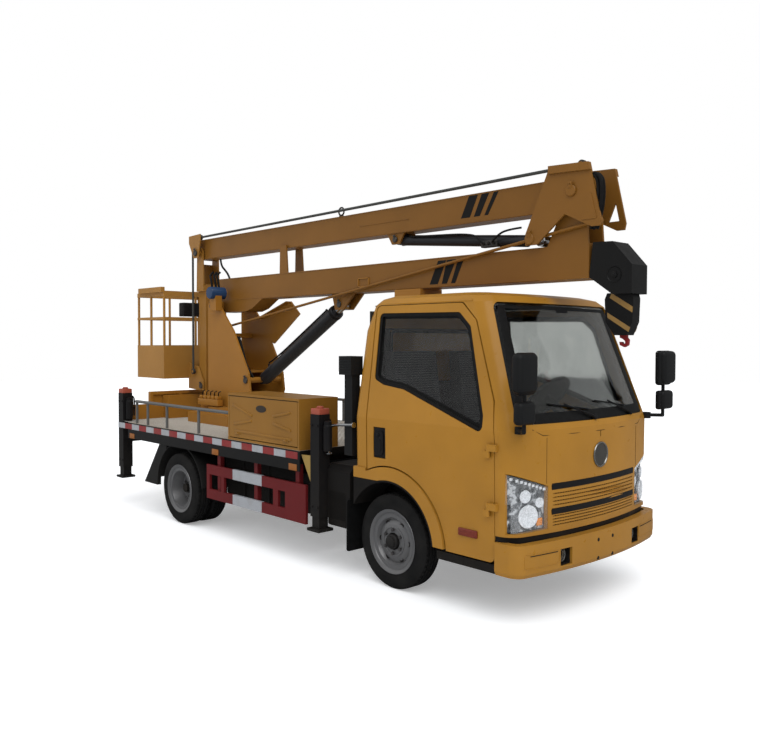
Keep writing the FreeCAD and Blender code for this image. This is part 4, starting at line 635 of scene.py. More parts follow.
# Painted reflection: the housing's pale specks and the bowls' white stand in for the reflections of
# mirror-finished metal. The strip of small lamps shares the white as its own colour.
lamp_silver_painted_reflection = speckled("lamp_silver_painted_reflection", 26, 2, [(0.35, (0.03, 0.032, 0.035)), (0.55, (0.2, 0.21, 0.22)),
                                              (0.62, (0.6, 0.62, 0.64))],
                       {"Metallic": 0.25, "Roughness": 0.22}, (0.25, 0.004))
clear_lens = speckled("lamp_lens", 12, 3, [(0.3, (0.75, 0.78, 0.8)), (0.7, (0.92, 0.94, 0.95))],
                      {"Roughness": 0.05, "Alpha": 0.05, "Coat Weight": 0.6})
amber = speckled("amber_lens", 120, 2, [(0.3, (0.6, 0.17, 0.01)), (0.7, (0.85, 0.3, 0.03))],
                 {"Roughness": 0.2}, (0.4, 0.001))
lamp_white_and_painted_reflection = speckled("lamp_white_and_painted_reflection", 90, 2, [(0.3, (0.5, 0.52, 0.54)), (0.7, (0.85, 0.87, 0.9))],
                      {"Roughness": 0.25})
LAMP_CORNERS = ((0.549, 0.608), (0.549, 0.881), (0.842, 0.976), (0.842, 0.598))


def lamp_skin(y, z, deep=0.0):
    """A point on the head lamp's outer face, so far behind it."""
    place = surface(["head_lamps"], (4, y, z), (-1, 0, 0))
    if place is None:
        place = nodes["head_lamps"].closest_point_on_mesh(Vector((2.9, y, z)))[1]
    return place + Vector((-deep, 0, 0))


def lamp_sheet(sign, deep, shrink):
    """A sheet that follows the lamp's face from corner to corner."""
    (y0, z0), (_, z1), (y2, z2), (_, z3) = LAMP_CORNERS

    def place(u, v):
        u, v = shrink + u * (1 - 2 * shrink), shrink + v * (1 - 2 * shrink)
        low, high = z0 + (z3 - z0) * u, z1 + (z2 - z1) * u
        return lamp_skin((y0 + (y2 - y0) * u) * sign, low + (high - low) * v, deep)
    return laid(14, 10, place)


LAMP_BOWL = [(0.054, 0.012), (0.058, 0.014), (0.06, 0.011), (0.056, 0.004), (0.05, -0.004), (0.036, -0.012),
             (0.018, -0.015), (0.016, -0.006), (0.006, -0.003)]
for side, sign in SIDES:
    cover = lamp_sheet(sign, 0.0, 0.0)
    settle(cover, "lamp_lens_" + side, "chassis", clear_lens)
    settle(lamp_sheet(sign, 0.03, 0.01), "lamp_housing_" + side, "chassis", lamp_silver_painted_reflection)
    bowls = []
    for y, z, size in ((0.7, 0.7, 1.25), (0.72, 0.83, 0.7), (0.6, 0.78, 0.55)):
        bowl = turned([(r * size, a * size) for r, a in LAMP_BOWL], (0, 0, 0), (1, 0.35 * sign, 0), 40)
        bowls.append(repeat(bowl, [lamp_skin(y * sign, z, 0.0225)]))
    settle(join(bowls), "lamp_bowls_" + side, "chassis", lamp_white_and_painted_reflection)
    strip = []
    for u in [0.06 + i * 0.105 for i in range(9)]:
        at = lamp_skin((0.549 + 0.297 * u) * sign, 0.86 + 0.096 * u, 0.012)
        strip.append(bar(at + Vector((-0.006, -0.0125, -0.009)), at + Vector((0.002, 0.0125, 0.009)), 0.002))
    settle(join(strip), "lamp_strip_" + side, "chassis", lamp_white_and_painted_reflection)
    at = lamp_skin(0.6 * sign, 0.655, 0.018)
    turn_lamp = bar(at + Vector((-0.006, -0.03, -0.024)), at + Vector((0.004, 0.03, 0.024)), 0.004)
    settle(turn_lamp, "turn_lamp_" + side, "chassis", amber)
    settle(lamp_sheet(sign, 0.031, -0.004), "lamp_surround_" + side, "chassis", trim_black)
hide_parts("head_lamps")

# ---------------------------------------------------------------- windscreen
# Laminated glass, grey-green, bonded in with a black printed border. Two black wipers park along
# its lower edge.
def glazing(name, colour, roughness=0.03, index=1.4, coat=0.3):
    """Tinted glass with a faint film of dust on it."""
    finish, tree, shader, place = new_finish(name)
    film = add_noise(tree, place, 5, 4)
    feed(tree, shader, {
        "Base Color": add_ramp(tree, film, (0.3, tuple(c * 0.9 for c in colour)), (0.75, colour)),
        "Roughness": add_ramp(tree, film, (0.35, roughness), (0.8, roughness * 2.2)),
        "Transmission Weight": 1.0, "IOR": index, "Coat Weight": coat, "Coat Roughness": 0.03})
    return finish


dress(["windscreen"], glazing("windscreen_glass", (0.44, 0.46, 0.44)))
SCREEN_LOW, SCREEN_TOP = 1.288, 2.088
HALF_LOW, HALF_TOP = 0.779, 0.683


def on_screen(u, v, proud=0.001):
    """A point of the glass: u runs from its right edge to its left, v from its foot to its top."""
    z = SCREEN_LOW + (SCREEN_TOP - SCREEN_LOW) * v
    y = (HALF_LOW + (HALF_TOP - HALF_LOW) * v) * (2 * u - 1)
    place = surface(["windscreen"], (4, y, z), (-1, 0, 0))
    if place is None:
        place = nodes["windscreen"].closest_point_on_mesh(Vector((2.9 - 0.3 * v, y, z)))[1]
    return place + Vector((proud, 0, proud * 0.4))


def screen_band(u, v, steps):
    """A band printed on the glass between two pairs of edges."""
    return laid(*steps, lambda a, b: on_screen(u[0] + (u[1] - u[0]) * a, v[0] + (v[1] - v[0]) * b))


screen_border = join([screen_band(u, v, steps) for u, v, steps in (
    ((0.0, 1.0), (0.0, 0.085), (40, 3)), ((0.0, 1.0), (0.945, 1.0), (40, 2)),
    ((0.0, 0.07), (0.08, 0.95), (3, 24)), ((0.93, 1.0), (0.08, 0.95), (3, 24)),
    ((0.45, 0.55), (0.925, 0.95), (6, 1)))])
settle(screen_border, "windscreen_border", "chassis", black_rubber)


def wiper(pivot, tip, blade_low, blade_high):
    """An arm from its spindle to the blade, the blade's spine and its rubber."""
    root, end = on_screen(*pivot, 0.02), on_screen(*tip, 0.016)
    parts = [turned([(0.02, -0.03), (0.02, 0.004), (0.015, 0.009), (0.006, 0.01)], root, (1, 0, 0.3), 20),
             hose([root, root.lerp(end, 0.3) + Vector((0.006, 0, 0)), end], 0.0062, 8),
             hose([root, root.lerp(end, 0.4)], 0.0095, 8)]
    (u, v), (far_u, far_v) = blade_low, blade_high
    line = [on_screen(u + (far_u - u) * t, v + (far_v - v) * t, 0.009) for t in (0, 0.25, 0.5, 0.75, 1)]
    return parts + [hose(line, 0.0055, 8), hose([p + Vector((-0.006, 0, 0)) for p in line], 0.003, 6)]


wipers = wiper((0.47, 0.015), (0.28, 0.14), (0.19, 0.15), (0.45, 0.085))
wipers += wiper((0.81, 0.015), (0.62, 0.14), (0.52, 0.15), (0.78, 0.085))
settle(join(wipers), "wipers", "chassis", trim_black)

# ---------------------------------------------------------------- side and rear windows
# Toughened glass in thick black rubber channels, one pane in each door and one in the rear wall.
# The doors lean in above the belt line, and so do their panes. Dark cloth lines the rear wall and
# the roof.
BELT, LEAN = 1.25, 0.1308      # height of the belt line, and how far the side leans in per metre
CAB_DOORS = ("door_right", "door_left")
DOOR_WINDOW = [(1.492, 1.540), (1.486, 2.030), (2.275, 2.022), (2.385, 1.925), (2.560, 1.340), (2.560, 1.222),
               (1.805, 1.475), (1.590, 1.500)]
side_glass = glazing("side_glass", (0.78, 0.79, 0.79), index=1.25, coat=0.0)


def door_pane(grow, deep, thick, radius, inset=0.0):
    """A plate on the window's outline, moved out by grow, its outer face deep behind the door's skin."""
    outline = []
    count = len(DOOR_WINDOW)
    for i in range(count):
        before, here, after = (Vector(DOOR_WINDOW[(i + k) % count]) for k in (-1, 0, 1))
        a, b = (here - before).normalized(), (after - here).normalized()
        push = Vector((-a.y, a.x)) + Vector((-b.y, b.x))
        push = push / max(0.35, push.length_squared / 2)
        outline.append((here.x + push.x * grow, 0, here.y + push.y * grow))
    piece = slab(outline, (0, thick, 0), radius, 5, inset)
    for corner in piece.data.vertices:
        corner.co.y -= 0.865 - deep - LEAN * max(0, corner.co.z - BELT)
    return piece


both_sides(door_pane(0.004, 0.022, 0.004, 0.036), "door_glass", CAB_DOORS, side_glass)
both_sides(door_pane(0.003, 0.0205, 0.001, 0.04, 0.045), "door_glass_border", CAB_DOORS, black_rubber)
both_sides(door_pane(0.005, 0.006, 0.026, 0.04, 0.03), "door_glass_seal", CAB_DOORS, black_rubber)
rear_pane = slab(facing_x(1.345, (-0.525, 0.525), (1.475, 1.905)), (0.004, 0, 0), 0.045, 5)
dark_glass = glazing("rear_glass", (0.93, 0.93, 0.93), index=1.22, coat=0.0)
settle(rear_pane, "rear_window_glass", "chassis", dark_glass)
rear_seal = slab(facing_x(1.33, (-0.53, 0.53), (1.47, 1.91)), (0.03, 0, 0), 0.05, 5, 0.022)
settle(rear_seal, "rear_window_seal", "chassis", black_rubber)

lining = paint("cab_lining", (0.022, 0.022, 0.024), 0.7, 0.0, 0.05, specular=0.2, grain=150)
walls = [bar((1.342, y_low, z_low), (1.352, y_high, z_high), 0.003)
         for y_low, y_high, z_low, z_high in ((-0.78, 0.78, 0.99, 1.475), (-0.74, 0.74, 1.905, 2.05),
                                              (-0.76, -0.525, 1.475, 1.905), (0.525, 0.76, 1.475, 1.905))]
walls.append(bar((1.36, -0.7, 2.085), (2.4, 0.7, 2.093), 0.003))
settle(join(walls), "cab_lining", "chassis", lining)

# ---------------------------------------------------------------- door handles and side lamps
# A black moulded pull set in each door's pocket, with its lock, and an orange-red side lamp low down
# ahead of the wheel.
def facing_y(y, x, z):
    """The corners of an upright panel that faces along Y, between two X and two Z."""
    return [(x[0], y, z[0]), (x[1], y, z[0]), (x[1], y, z[1]), (x[0], y, z[1])]


handle = join([bar((1.523, -0.859, 0.963), (1.645, -0.853, 1.185), 0.003),
               slab(facing_y(-0.871, (1.535, 1.63), (0.985, 1.165)), (0, 0.006, 0), 0.03, 5),
               slab(facing_y(-0.874, (1.55, 1.612), (1.01, 1.1)), (0, 0.006, 0), 0.02, 5),
               turned([(0.014, -0.004), (0.014, 0.003), (0.01, 0.005)], (1.58, -0.872, 1.133), OUTWARD, 20)])
both_sides(handle, "door_handle", CAB_DOORS, trim_black)
red_lens = speckled("red_lens", 120, 2, [(0.3, (0.12, 0.017, 0.009)), (0.7, (0.2, 0.032, 0.016))],
                    {"Roughness": 0.25}, (0.4, 0.001))
lamp_y = surface(["door_right"], (2.44, -1.2, 0.555), (0, 1, 0)).y
side_lamp = bar((2.357, lamp_y - 0.012, 0.529), (2.52, lamp_y + 0.004, 0.581), 0.006, 3)
both_sides(side_lamp, "side_lamp", CAB_DOORS, red_lens)

# ---------------------------------------------------------------- mirrors, seats, dashboard, intake
# Mirror heads with rounded shells and the louvred air intake are moulded black plastic with a fine
# grain. The seats are grey woven cloth, the dashboard dark grey, and each mirror head holds a
# silvered glass facing back.
moulded = paint("black_plastic", (0.007, 0.008, 0.009), 0.5, 0.0, 0.12, specular=0.2, grain=90)
dress(["mirrors", "air_intake", "rear_mudguards"], moulded)
dress(["dashboard"], paint("dash_plastic", (0.022, 0.023, 0.024), 0.6, 0.0, 0.05, specular=0.25, grain=200))
seat_cloth, tree, shader, place = new_finish("seat_cloth")
weave = add(tree, "TexWave", {"Vector": place, "Scale": 120, "Distortion": 1.5}).outputs["Fac"]
thread = add_ramp(tree, weave, (0.2, (0.03, 0.032, 0.036)), (0.8, (0.07, 0.074, 0.08)))
feed(tree, shader, {"Base Color": thread, "Roughness": 0.9})
add_bump(tree, shader, weave, 0.3, 0.001)
dress(["seats"], seat_cloth)
mirror_glass = speckled("mirror_glass", 14, 3, [(0.3, (0.6, 0.63, 0.65)), (0.7, (0.75, 0.78, 0.8))],
                        {"Metallic": 1.0, "Roughness": 0.04})
glasses = join([slab(facing_x(2.8725, (-0.938, -0.802), (1.518, 1.73)), (0.003, 0, 0), 0.02, 4),
                slab(facing_x(2.8745, (-0.913, -0.807), (1.328, 1.434)), (0.003, 0, 0), 0.015, 4)])
both_sides(glasses, "mirror_glass", "chassis", mirror_glass)
shells = join([bar((2.874, -0.985, 1.505), (2.955, -0.79, 1.752), 0.034, 5),
               bar((2.876, -0.965, 1.31), (2.945, -0.8, 1.452), 0.028, 5)])
both_sides(shells, "mirror_shells", "chassis", moulded, 60)
louvres = [bar((1.14, -0.873, z), (1.265, -0.866, z + 0.006), 0.002)
           for z in (1.585, 1.605, 1.625, 1.645, 1.665, 1.685)]
settle(join(louvres), "intake_louvres", "chassis", moulded)

# ---------------------------------------------------------------- deck
# Folded black edge channels with a pale checker plate welded in. The raised lenses are rolled into
# the plate, and red and white tape, amber reflectors and a small yellow plate are stuck to its edge.
DECK_TOP = 0.9285              # above this height the sheet is the pale checker plate
deck_finish, tree, shader, place = new_finish("deck_paint")
wear = add_noise(tree, place, 6, 6, 0.7)
pale = add_ramp(tree, wear, (0.3, (0.24, 0.21, 0.165)), (0.7, (0.38, 0.34, 0.275)))
dark = add_ramp(tree, wear, (0.3, (0.005, 0.005, 0.0055)), (0.8, (0.011, 0.01, 0.009)))
on_top = add_math(tree, "GREATER_THAN", height_of(tree, place), DECK_TOP)
feed(tree, shader, {"Base Color": add_mix(tree, on_top, dark, pale), "Specular IOR Level": 0.25,
                    "Roughness": add_ramp(tree, wear, (0.2, 0.4), (0.8, 0.6))})
add_bump(tree, shader, wear, 0.15, 0.002)
dress(["deck"], deck_finish)


def arrayed(piece, runs):
    """A piece repeated in rows: each run is (count, step)."""
    hold(piece)
    for count, step in runs:
        rows = piece.modifiers.new("rows", "ARRAY")
        rows.count = count
        rows.use_relative_offset = False
        rows.use_constant_offset = True
        rows.constant_offset_displace = step
        bpy.ops.object.modifier_apply(modifier="rows")
    return piece


def plate_lens(x, y, angle):
    """One raised lens of the checker plate."""
    piece = slab([(-0.015, 0, 0), (-0.006, -0.0035, 0), (0.006, -0.0035, 0), (0.015, 0, 0),
                  (0.006, 0.0035, 0), (-0.006, 0.0035, 0)], (0, 0, 0.002))
    edit()
    choose(lambda middle, normal: middle.z > 0.0015)
    bpy.ops.transform.resize(value=(0.7, 0.5, 1), center_override=(0, 0, 0.002))
    bpy.ops.object.mode_set(mode="OBJECT")
    piece.matrix_world = Matrix.Translation((x, y, DECK_TOP + 0.001)) @ Matrix.Rotation(angle, 4, "Z")
    fix_place()
    return piece


PITCH, LENS_TURN = 0.055, 0.785
PLATE_X, PLATE_Y = (-2.585, -2.585 + PITCH / 2), (-0.905, -0.905 + PITCH / 2)
lenses = join([plate_lens(PLATE_X[i], PLATE_Y[j], LENS_TURN if i == j else -LENS_TURN)
               for j in (0, 1) for i in (0, 1)])
lenses = arrayed(lenses, [(60, (PITCH, 0, 0)), (33, (0, PITCH, 0))])
lens_steel = paint("lens_steel", (0.62, 0.6, 0.56), 0.35, 0.0, 0.05, metallic=0.2, specular=0.4, grain=60)
settle(lenses, "deck_lenses", "chassis", lens_steel)


def sheeting(name, colour, grain=220):
    """Reflective tape: a fine cell pattern under a clear face."""
    finish, tree, shader, place = new_finish(name)
    cells = add(tree, "TexVoronoi", {"Vector": place, "Scale": grain})
    shade = add_ramp(tree, cells, (0.1, tuple(c * 0.75 for c in colour)), (0.6, colour))
    dull = add_ramp(tree, add_noise(tree, place, 9, 5), (0.5, 0.0), (0.8, 0.35))
    feed(tree, shader, {"Base Color": add_mix(tree, dull, shade, ROAD_DUST), "Roughness": 0.4,
                        "Specular IOR Level": 0.3})
    return finish


tape_red = sheeting("tape_red", (0.25, 0.025, 0.025))
tape_white = sheeting("tape_white", (0.36, 0.37, 0.39))
TAPE_LOW, TAPE_TOP, TAPE_LONG = 0.858, 0.916, 0.163
for colour, finish, first in (("white", tape_white, 0), ("red", tape_red, 1)):
    strips = [bar((x, -0.9375, TAPE_LOW), (x + TAPE_LONG, -0.9345, TAPE_TOP), 0.0008, 1)
              for x in [-2.57 + TAPE_LONG * (2 * i + first) for i in range(10)]]
    both_sides(join(strips), "deck_tape_" + colour, "chassis", finish)
    strips = [bar((-2.6125, y, TAPE_LOW), (-2.6095, y + TAPE_LONG, TAPE_TOP), 0.0008, 1)
              for y in [-0.815 + TAPE_LONG * (2 * i + first) for i in range(5)]]
    settle(join(strips), "rear_tape_" + colour, "chassis", finish)
amber_tape = sheeting("amber_reflector", (0.3, 0.1, 0.015), 150)
reflectors = join([bar((x, -0.9385, 0.762), (x + 0.11, -0.9335, 0.816), 0.004) for x in (0.57, -0.62, -2.3)])
both_sides(reflectors, "deck_reflectors", "chassis", amber_tape)
warning = slab([(0.722, -0.921, 0.9), (0.842, -0.921, 0.905), (0.842, -0.921, 0.69)], (0, 0.003, 0), 0.006, 3)
settle(warning, "edge_plate", "chassis", sheeting("plate_yellow", (0.33, 0.21, 0.05)))

# ---------------------------------------------------------------- side guards, rails and grab rail
# Side guards of square tube, sprayed red with white tape wrapped round the middle of each bar. The
# deck's own rails are galvanised flat bar, and a chrome tube is bent round the box by the cab.
guard_red = paint("guard_red", (0.125, 0.008, 0.01), 0.42, 0.03, 0.06, specular=0.18)
dress(["side_guards"], guard_red)
guard_y = surface(["side_guards"], (0.0, -1.3, 0.61), (0, 1, 0)).y
wraps = [bar((-0.303, guard_y - 0.0015, low - 0.0015), (0.152, guard_y + 0.028, high + 0.0015), 0.001, 1)
         for low, high in ((0.335, 0.425), (0.565, 0.655))]
both_sides(join(wraps), "guard_wraps", "chassis", tape_white)
galvanised = paint("galvanised", (0.2, 0.2, 0.195), 0.45, 0.0, 0.3, metallic=0.7, specular=0.4, grain=40)
dress(["deck_rails"], galvanised)
chrome, tree, shader, place = new_finish("chrome")
film = add_noise(tree, place, 30, 4)
feed(tree, shader, {"Base Color": add_ramp(tree, film, (0.3, (0.45, 0.46, 0.47)), (0.7, (0.6, 0.61, 0.62))),
                    "Roughness": add_ramp(tree, film, (0.3, 0.08), (0.8, 0.2)), "Metallic": 1.0})
dress(["lift_ram", "upper_ram"], chrome)
rail = hose([(x, -0.86, z) for x, z in ((1.0, 0.93), (1.0, 1.0), (1.0, 1.1), (1.015, 1.15), (1.07, 1.165),
                                        (1.15, 1.17), (1.28, 1.18))], 0.011, 12)
feet = [turned([(0.024, 0), (0.024, 0.006), (0.014, 0.01)], (1.0, -0.86, 0.93), UP, 20),
        turned([(0.022, 0), (0.022, 0.006), (0.014, 0.01)], (1.298, -0.86, 1.18), (-1, 0, 0), 20)]
settle(join([rail] + feet), "grab_rail", "chassis", chrome)

# ---------------------------------------------------------------- battery box and mud flaps
# A pressed black battery box with a lid and three straps hangs outside the right chassis rail, a
# plain valve box stands beside the front leg, and a rubber mud flap hangs behind each front wheel.
battery = [bar((-0.8, -0.66, 0.34), (0.62, -0.37, 0.6), 0.012, 3),
           bar((-0.81, -0.67, 0.6), (0.63, -0.36, 0.69), 0.01, 3)]
battery += [bar((x, -0.676, 0.334), (x + 0.03, -0.355, 0.697), 0.003, 2) for x in (-0.5, -0.1, 0.35)]
battery.append(bar((0.965, -0.85, 0.36), (1.21, -0.45, 0.66), 0.02, 3))
settle(join(battery), "battery_box", "chassis", chassis_paint)
flap = slab(facing_x(1.235, (-0.64, -0.88), (0.2, 0.6)), (0.008, 0, 0), 0.02, 3)
both_sides(flap, "front_flap", "chassis", black_rubber)

# ---------------------------------------------------------------- tool boxes
# Welded sheet boxes with pressed doors: shallow stiffening ribs, painted twist latches, a folded lid
# edge with its rubber strip, and a blank dark plate on each door.
TOOL_DOORS = ("tool_door_right", "tool_door_left")
box_paint = paint("box_paint", (0.27, 0.125, 0.018), 0.36, 0.08, 0.2, specular=0.2)
dress(["tool_boxes", *TOOL_DOORS], box_paint)


def rib(start, end, y, wide=0.022, high=0.007):
    """A pressed rib between two points on a side panel."""
    start, end = Vector((start[0], y, start[1])), Vector((end[0], y, end[1]))
    along = end - start
    half = along.length / 2
    piece = bar((-half, -high, -wide / 2), (half, high * 0.5, wide / 2), min(high, wide) * 0.45, 3)
    lie = Matrix.Rotation(-math.atan2(along.z, along.x), 4, "Y")
    piece.matrix_world = Matrix.Translation((start + end) / 2) @ lie
    fix_place()
    return piece


door_y = surface(["tool_door_right"], (0.18, -1.3, 1.2), (0, 1, 0)).y
ribs = [rib(a, b, door_y) for a, b in (((-0.265, 1.248), (0.039, 1.166)), ((0.351, 1.184), (0.589, 1.23)),
                                       ((-0.23, 1.017), (0.602, 1.009)), ((-0.25, 1.075), (0.03, 1.122)),
                                       ((0.351, 1.126), (0.6, 1.082)))]
both_sides(join(ribs), "door_ribs", TOOL_DOORS, box_paint)
latches = []
for x, z in ((-0.182, 0.996), (0.533, 0.996)):
    latches += [bar((x - 0.035, door_y - 0.006, z - 0.014), (x + 0.035, door_y + 0.002, z + 0.014), 0.004, 3),
                turned([(0.012, 0), (0.012, 0.006), (0.009, 0.009)], (x, door_y - 0.005, z), OUTWARD, 20),
                bar((x - 0.022, door_y - 0.018, z - 0.005), (x + 0.022, door_y - 0.01, z + 0.005), 0.003, 3)]
both_sides(join(latches), "door_latches", TOOL_DOORS, box_paint)
oval = [(0.175 + 0.075 * math.cos(a), door_y - 0.003, 1.235 + 0.03 * math.sin(a))
        for a in [math.tau * i / 36 for i in range(36)]]
both_sides(slab(oval, (0, 0.004, 0)), "door_plate", TOOL_DOORS,
           paint("plate_dark", (0.03, 0.022, 0.016), 0.4, 0.1, 0.1))
lid_strip = bar((-0.34, -0.9355, 1.3225), (0.706, -0.9325, 1.3275), 0.001, 1)
both_sides(lid_strip, "lid_strip", "chassis", black_rubber)

# ---------------------------------------------------------------- outriggers
# Square sleeves and legs of welded plate sprayed black. Each leg has an orange-red cap, four bolts
# on its outer face, two short hoses down its inner side and a lock cylinder beside it.
leg_black = paint("leg_black", (0.006, 0.006, 0.007), 0.45, 0.03, 0.12, specular=0.18)
dress(["outrigger_beams", "leg_front_right", "leg_front_left", "leg_rear_right", "leg_rear_left"], leg_black)
cap_red = paint("cap_red", (0.33, 0.07, 0.04), 0.45, 0.05, 0.2)
for where, x in (("front", 0.9), ("rear", -2.535)):
    cap = join([bar((x - 0.054, -0.924, 1.236), (x + 0.054, -0.816, 1.285), 0.006, 3),
                turned([(0.03, 0), (0.03, 0.012), (0.022, 0.018), (0.008, 0.018)], (x, -0.87, 1.284), UP,
                       24)])
    both_sides(cap, "leg_cap_" + where, "chassis", cap_red)
    bolts = [turned([(0.011, -0.002), (0.011, 0.006), (0.007, 0.008)], (x + dx, -0.9245, z), OUTWARD, 6)
             for dx in (-0.035, 0.035) for z in (1.15, 0.5)]
    pipes = [hose([(x + dx, y, z) for y, z in ((-0.815, 1.2), (-0.78, 1.2), (-0.77, 1.12), (-0.775, 0.98))],
                  0.008, 8) for dx in (-0.02, 0.02)]
    lock = turned([(0.03, 0), (0.036, 0.008), (0.036, 0.2), (0.03, 0.208), (0.03, 0.235), (0.02, 0.24)],
                  (x + 0.095, -0.87, 0.95), UP, 24)
    both_sides(join([*bolts, *pipes, lock]), "leg_fittings_" + where, "chassis", trim_black)

# ---------------------------------------------------------------- boom stand and rear cabinet
# Posts and cradle of square tube and plate and a low sheet cabinet at the tail, sprayed like the
# turret, with tail lamps and a blank number plate under the deck's rear edge.
# The booms' paint is a darker copy of the turret paint: painted shade for the booms' shaded sides, high up
# against the bright sky.
boom_paint = paint("boom_paint", (0.215, 0.092, 0.014), 0.36, 0.05, 0.08, specular=0.18)
turret_paint = paint("turret_paint", (0.345, 0.148, 0.02), 0.36, 0.05, 0.08, specular=0.18)
dress(["boom_stand", "turntable_base"], turret_paint)
lamps = [bar((-2.628, y - 0.045, 0.745), (-2.608, y + 0.045, 0.835), 0.006, 3) for y in (-0.72, -0.62, -0.52)]
both_sides(join(lamps[:2]), "tail_lamp", "chassis", red_lens)
both_sides(lamps[2], "tail_turn_lamp", "chassis", amber_tape)
rear_plate = slab(facing_x(-2.6135, (-0.22, 0.22), (0.72, 0.84)), (0.003, 0, 0), 0.012, 3)
settle(rear_plate, "number_plate", "chassis", tape_white)

# ---------------------------------------------------------------- turntable, turret and its drive
# The turret is two flame-cut side plates welded to cross plates on the slewing ring. Keeper plates
# with two bolts hold its pins. A blue hydraulic motor hangs high beside the right plate, and a valve
# block with five levers is fixed low down on the same side.
dress(["turret", "slew_drive"], turret_paint)
pin_steel = paint("pin_steel", (0.09, 0.085, 0.08), 0.4, 0.0, 0.1, metallic=0.7, specular=0.4, grain=70)


def pin_end(names, x, z, sign, radius):
    """A pin's chamfered end with its keeper plate and two bolts, on the outer face found there."""
    place = surface(names, (x, sign * 1.3, z), (0, -sign, 0)) or Vector((x, sign * 0.1, z))
    out = Vector((0, sign, 0))
    end = turned([(radius, -0.004), (radius, 0.006), (radius - 0.005, 0.011), (0.004, 0.011)], place, out, 28)
    low, high = sorted((place.y + sign * 0.008, place.y + sign * 0.014))
    half = radius * 0.4
    keeper = bar((x - half, low, z + radius * 0.35), (x + half, high, z + radius * 1.5), 0.002, 2)
    bolts = [turned([(0.007, 0), (0.007, 0.005), (0.004, 0.006)],
                    (x + dx, place.y + sign * 0.014, z + radius * 1.2), out, 6)
             for dx in (-radius * 0.22, radius * 0.22)]
    return [end, keeper] + bolts


def pin_ends(node, spots, radius):
    """Both ends of the pins that cross a node, joined."""
    return join([part for x, z in spots for sign in (-1, 1) for part in pin_end([node], x, z, sign, radius)])


turret_pins = pin_ends("turret", ((-1.775, 2.195), (-1.12, 1.41)), 0.034)
settle(turret_pins, "turret_pins", "turret", pin_steel)
motor_blue = paint("motor_blue", (0.012, 0.045, 0.12), 0.4, 0.15, 0.05, grain=50)
motor = turned([(0.0655, -0.165), (0.0655, -0.335), (0.06, -0.3445), (0.02, -0.346)],
               (-1.64, 0, 2.33), (0, 1, 0), 32)
settle(motor, "motor_shell", "turret", motor_blue)
hoses = [hose([(x + dx, y - dy, z) for x, y, z in ((-1.68, -0.22, 2.38), (-1.69, -0.225, 2.47),
                                                   (-1.73, -0.22, 2.53), (-1.74, -0.17, 2.56))], 0.012, 8)
         for dx, dy in ((-0.02, 0.0), (0.01, 0.02), (0.04, 0.0), (0.0, 0.06))]
hoses += [hose([(x + dx, y, z) for x, y, z in ((-1.36, -0.19, 1.86), (-1.3, -0.185, 1.72),
                                               (-1.24, -0.18, 1.55), (-1.16, -0.15, 1.44))], 0.012, 8)
          for dx in (-0.03, 0.02, 0.06)]
settle(join(hoses), "turret_hoses", "turret", black_rubber)
LEVERS_AT = (-1.88, -1.8, -1.72, -1.64, -1.56)
valve = join([bar((-1.9, -0.335, 1.12), (-1.5, -0.265, 1.19), 0.006, 3)]
             + [bar((x, -0.33, 1.19), (x + 0.05, -0.27, 1.225), 0.008, 3) for x in LEVERS_AT])
settle(valve, "valve_block", "turret", turret_paint)
levers = [hose([(x + dx, y, z) for dx, y, z in ((0.025, -0.3, 1.225), (0.035, -0.305, 1.25),
                                                (0.07, -0.32, 1.275), (0.115, -0.325, 1.28))], 0.0055, 8)
          for x in LEVERS_AT]
settle(join(levers), "valve_levers", "turret", trim_black)
ring_bolts = [turned([(0.011, 0), (0.011, 0.01), (0.006, 0.013)],
                     (-1.6 + 0.30 * math.cos(a), 0.30 * math.sin(a), 1.075), UP, 6)
              for a in [math.tau * i / 24 for i in range(24)]]
settle(join(ring_bolts), "ring_bolts", "turret", pin_steel)

# ---------------------------------------------------------------- lift cylinder and levelling rods
# A drawn tube sprayed black with a chromed ram, its gland nut and two hoses, and levelling rods of
# solid bar with screwed ends.
jack_black = paint("jack_black", (0.016, 0.017, 0.02), 0.35, 0.15, 0.05, specular=0.25)
dress(["lift_barrel", "upper_barrel"], jack_black)
dress(["lower_rod"], boom_paint)
rod_grey = paint("rod_grey", (0.05, 0.052, 0.048), 0.45, 0.05, 0.05, specular=0.25)
dress(["upper_rod", "third_rod"], rod_grey)
LIFT_FOOT, LIFT_EYE = Vector((-1.12, 0, 1.41)), Vector((0.18, 0, 2.16))
lift_way = (LIFT_EYE - LIFT_FOOT).normalized()
lift_up = lift_way.cross(Vector((0, -1, 0)))
lift_up = lift_up if lift_up.z > 0 else -lift_up


def on_lift(along, off=0.0):
    """A point above the lift cylinder's middle line."""
    return LIFT_FOOT + lift_way * along + lift_up * off


fittings = [turned([(0.0685, 0), (0.0715, 0.004), (0.0715, 0.03), (0.0685, 0.034)], on_lift(1.33), lift_way,
                   40, ring=True)]
fittings += [turned([(0.018, 0), (0.018, 0.02), (0.012, 0.022), (0.012, 0.035)], on_lift(along, 0.064),
                    lift_up, 6) for along in (0.16, 1.25)]
fittings.append(hose([on_lift(1.25, 0.09), on_lift(1.2, 0.09), on_lift(0.8, 0.09), on_lift(0.3, 0.09),
                      on_lift(0.17, 0.11)], 0.009, 8))
settle(join(fittings), "lift_fittings", "lift_barrel", trim_black)

# ---------------------------------------------------------------- lower boom
# A four-plate box welded along its corners and sprayed, its side crossed by black slanted stripes,
# with a guide bracket for the hoses and the lug for the lift ram's pin.
# The booms wear the darker copy of the paint, with the shade on their sides painted into its colour.
dress(["lower_boom"], boom_paint)
stripe_black = paint("stripe_black", (0.006, 0.006, 0.006), 0.45, 0.0, 0.0, specular=0.18)


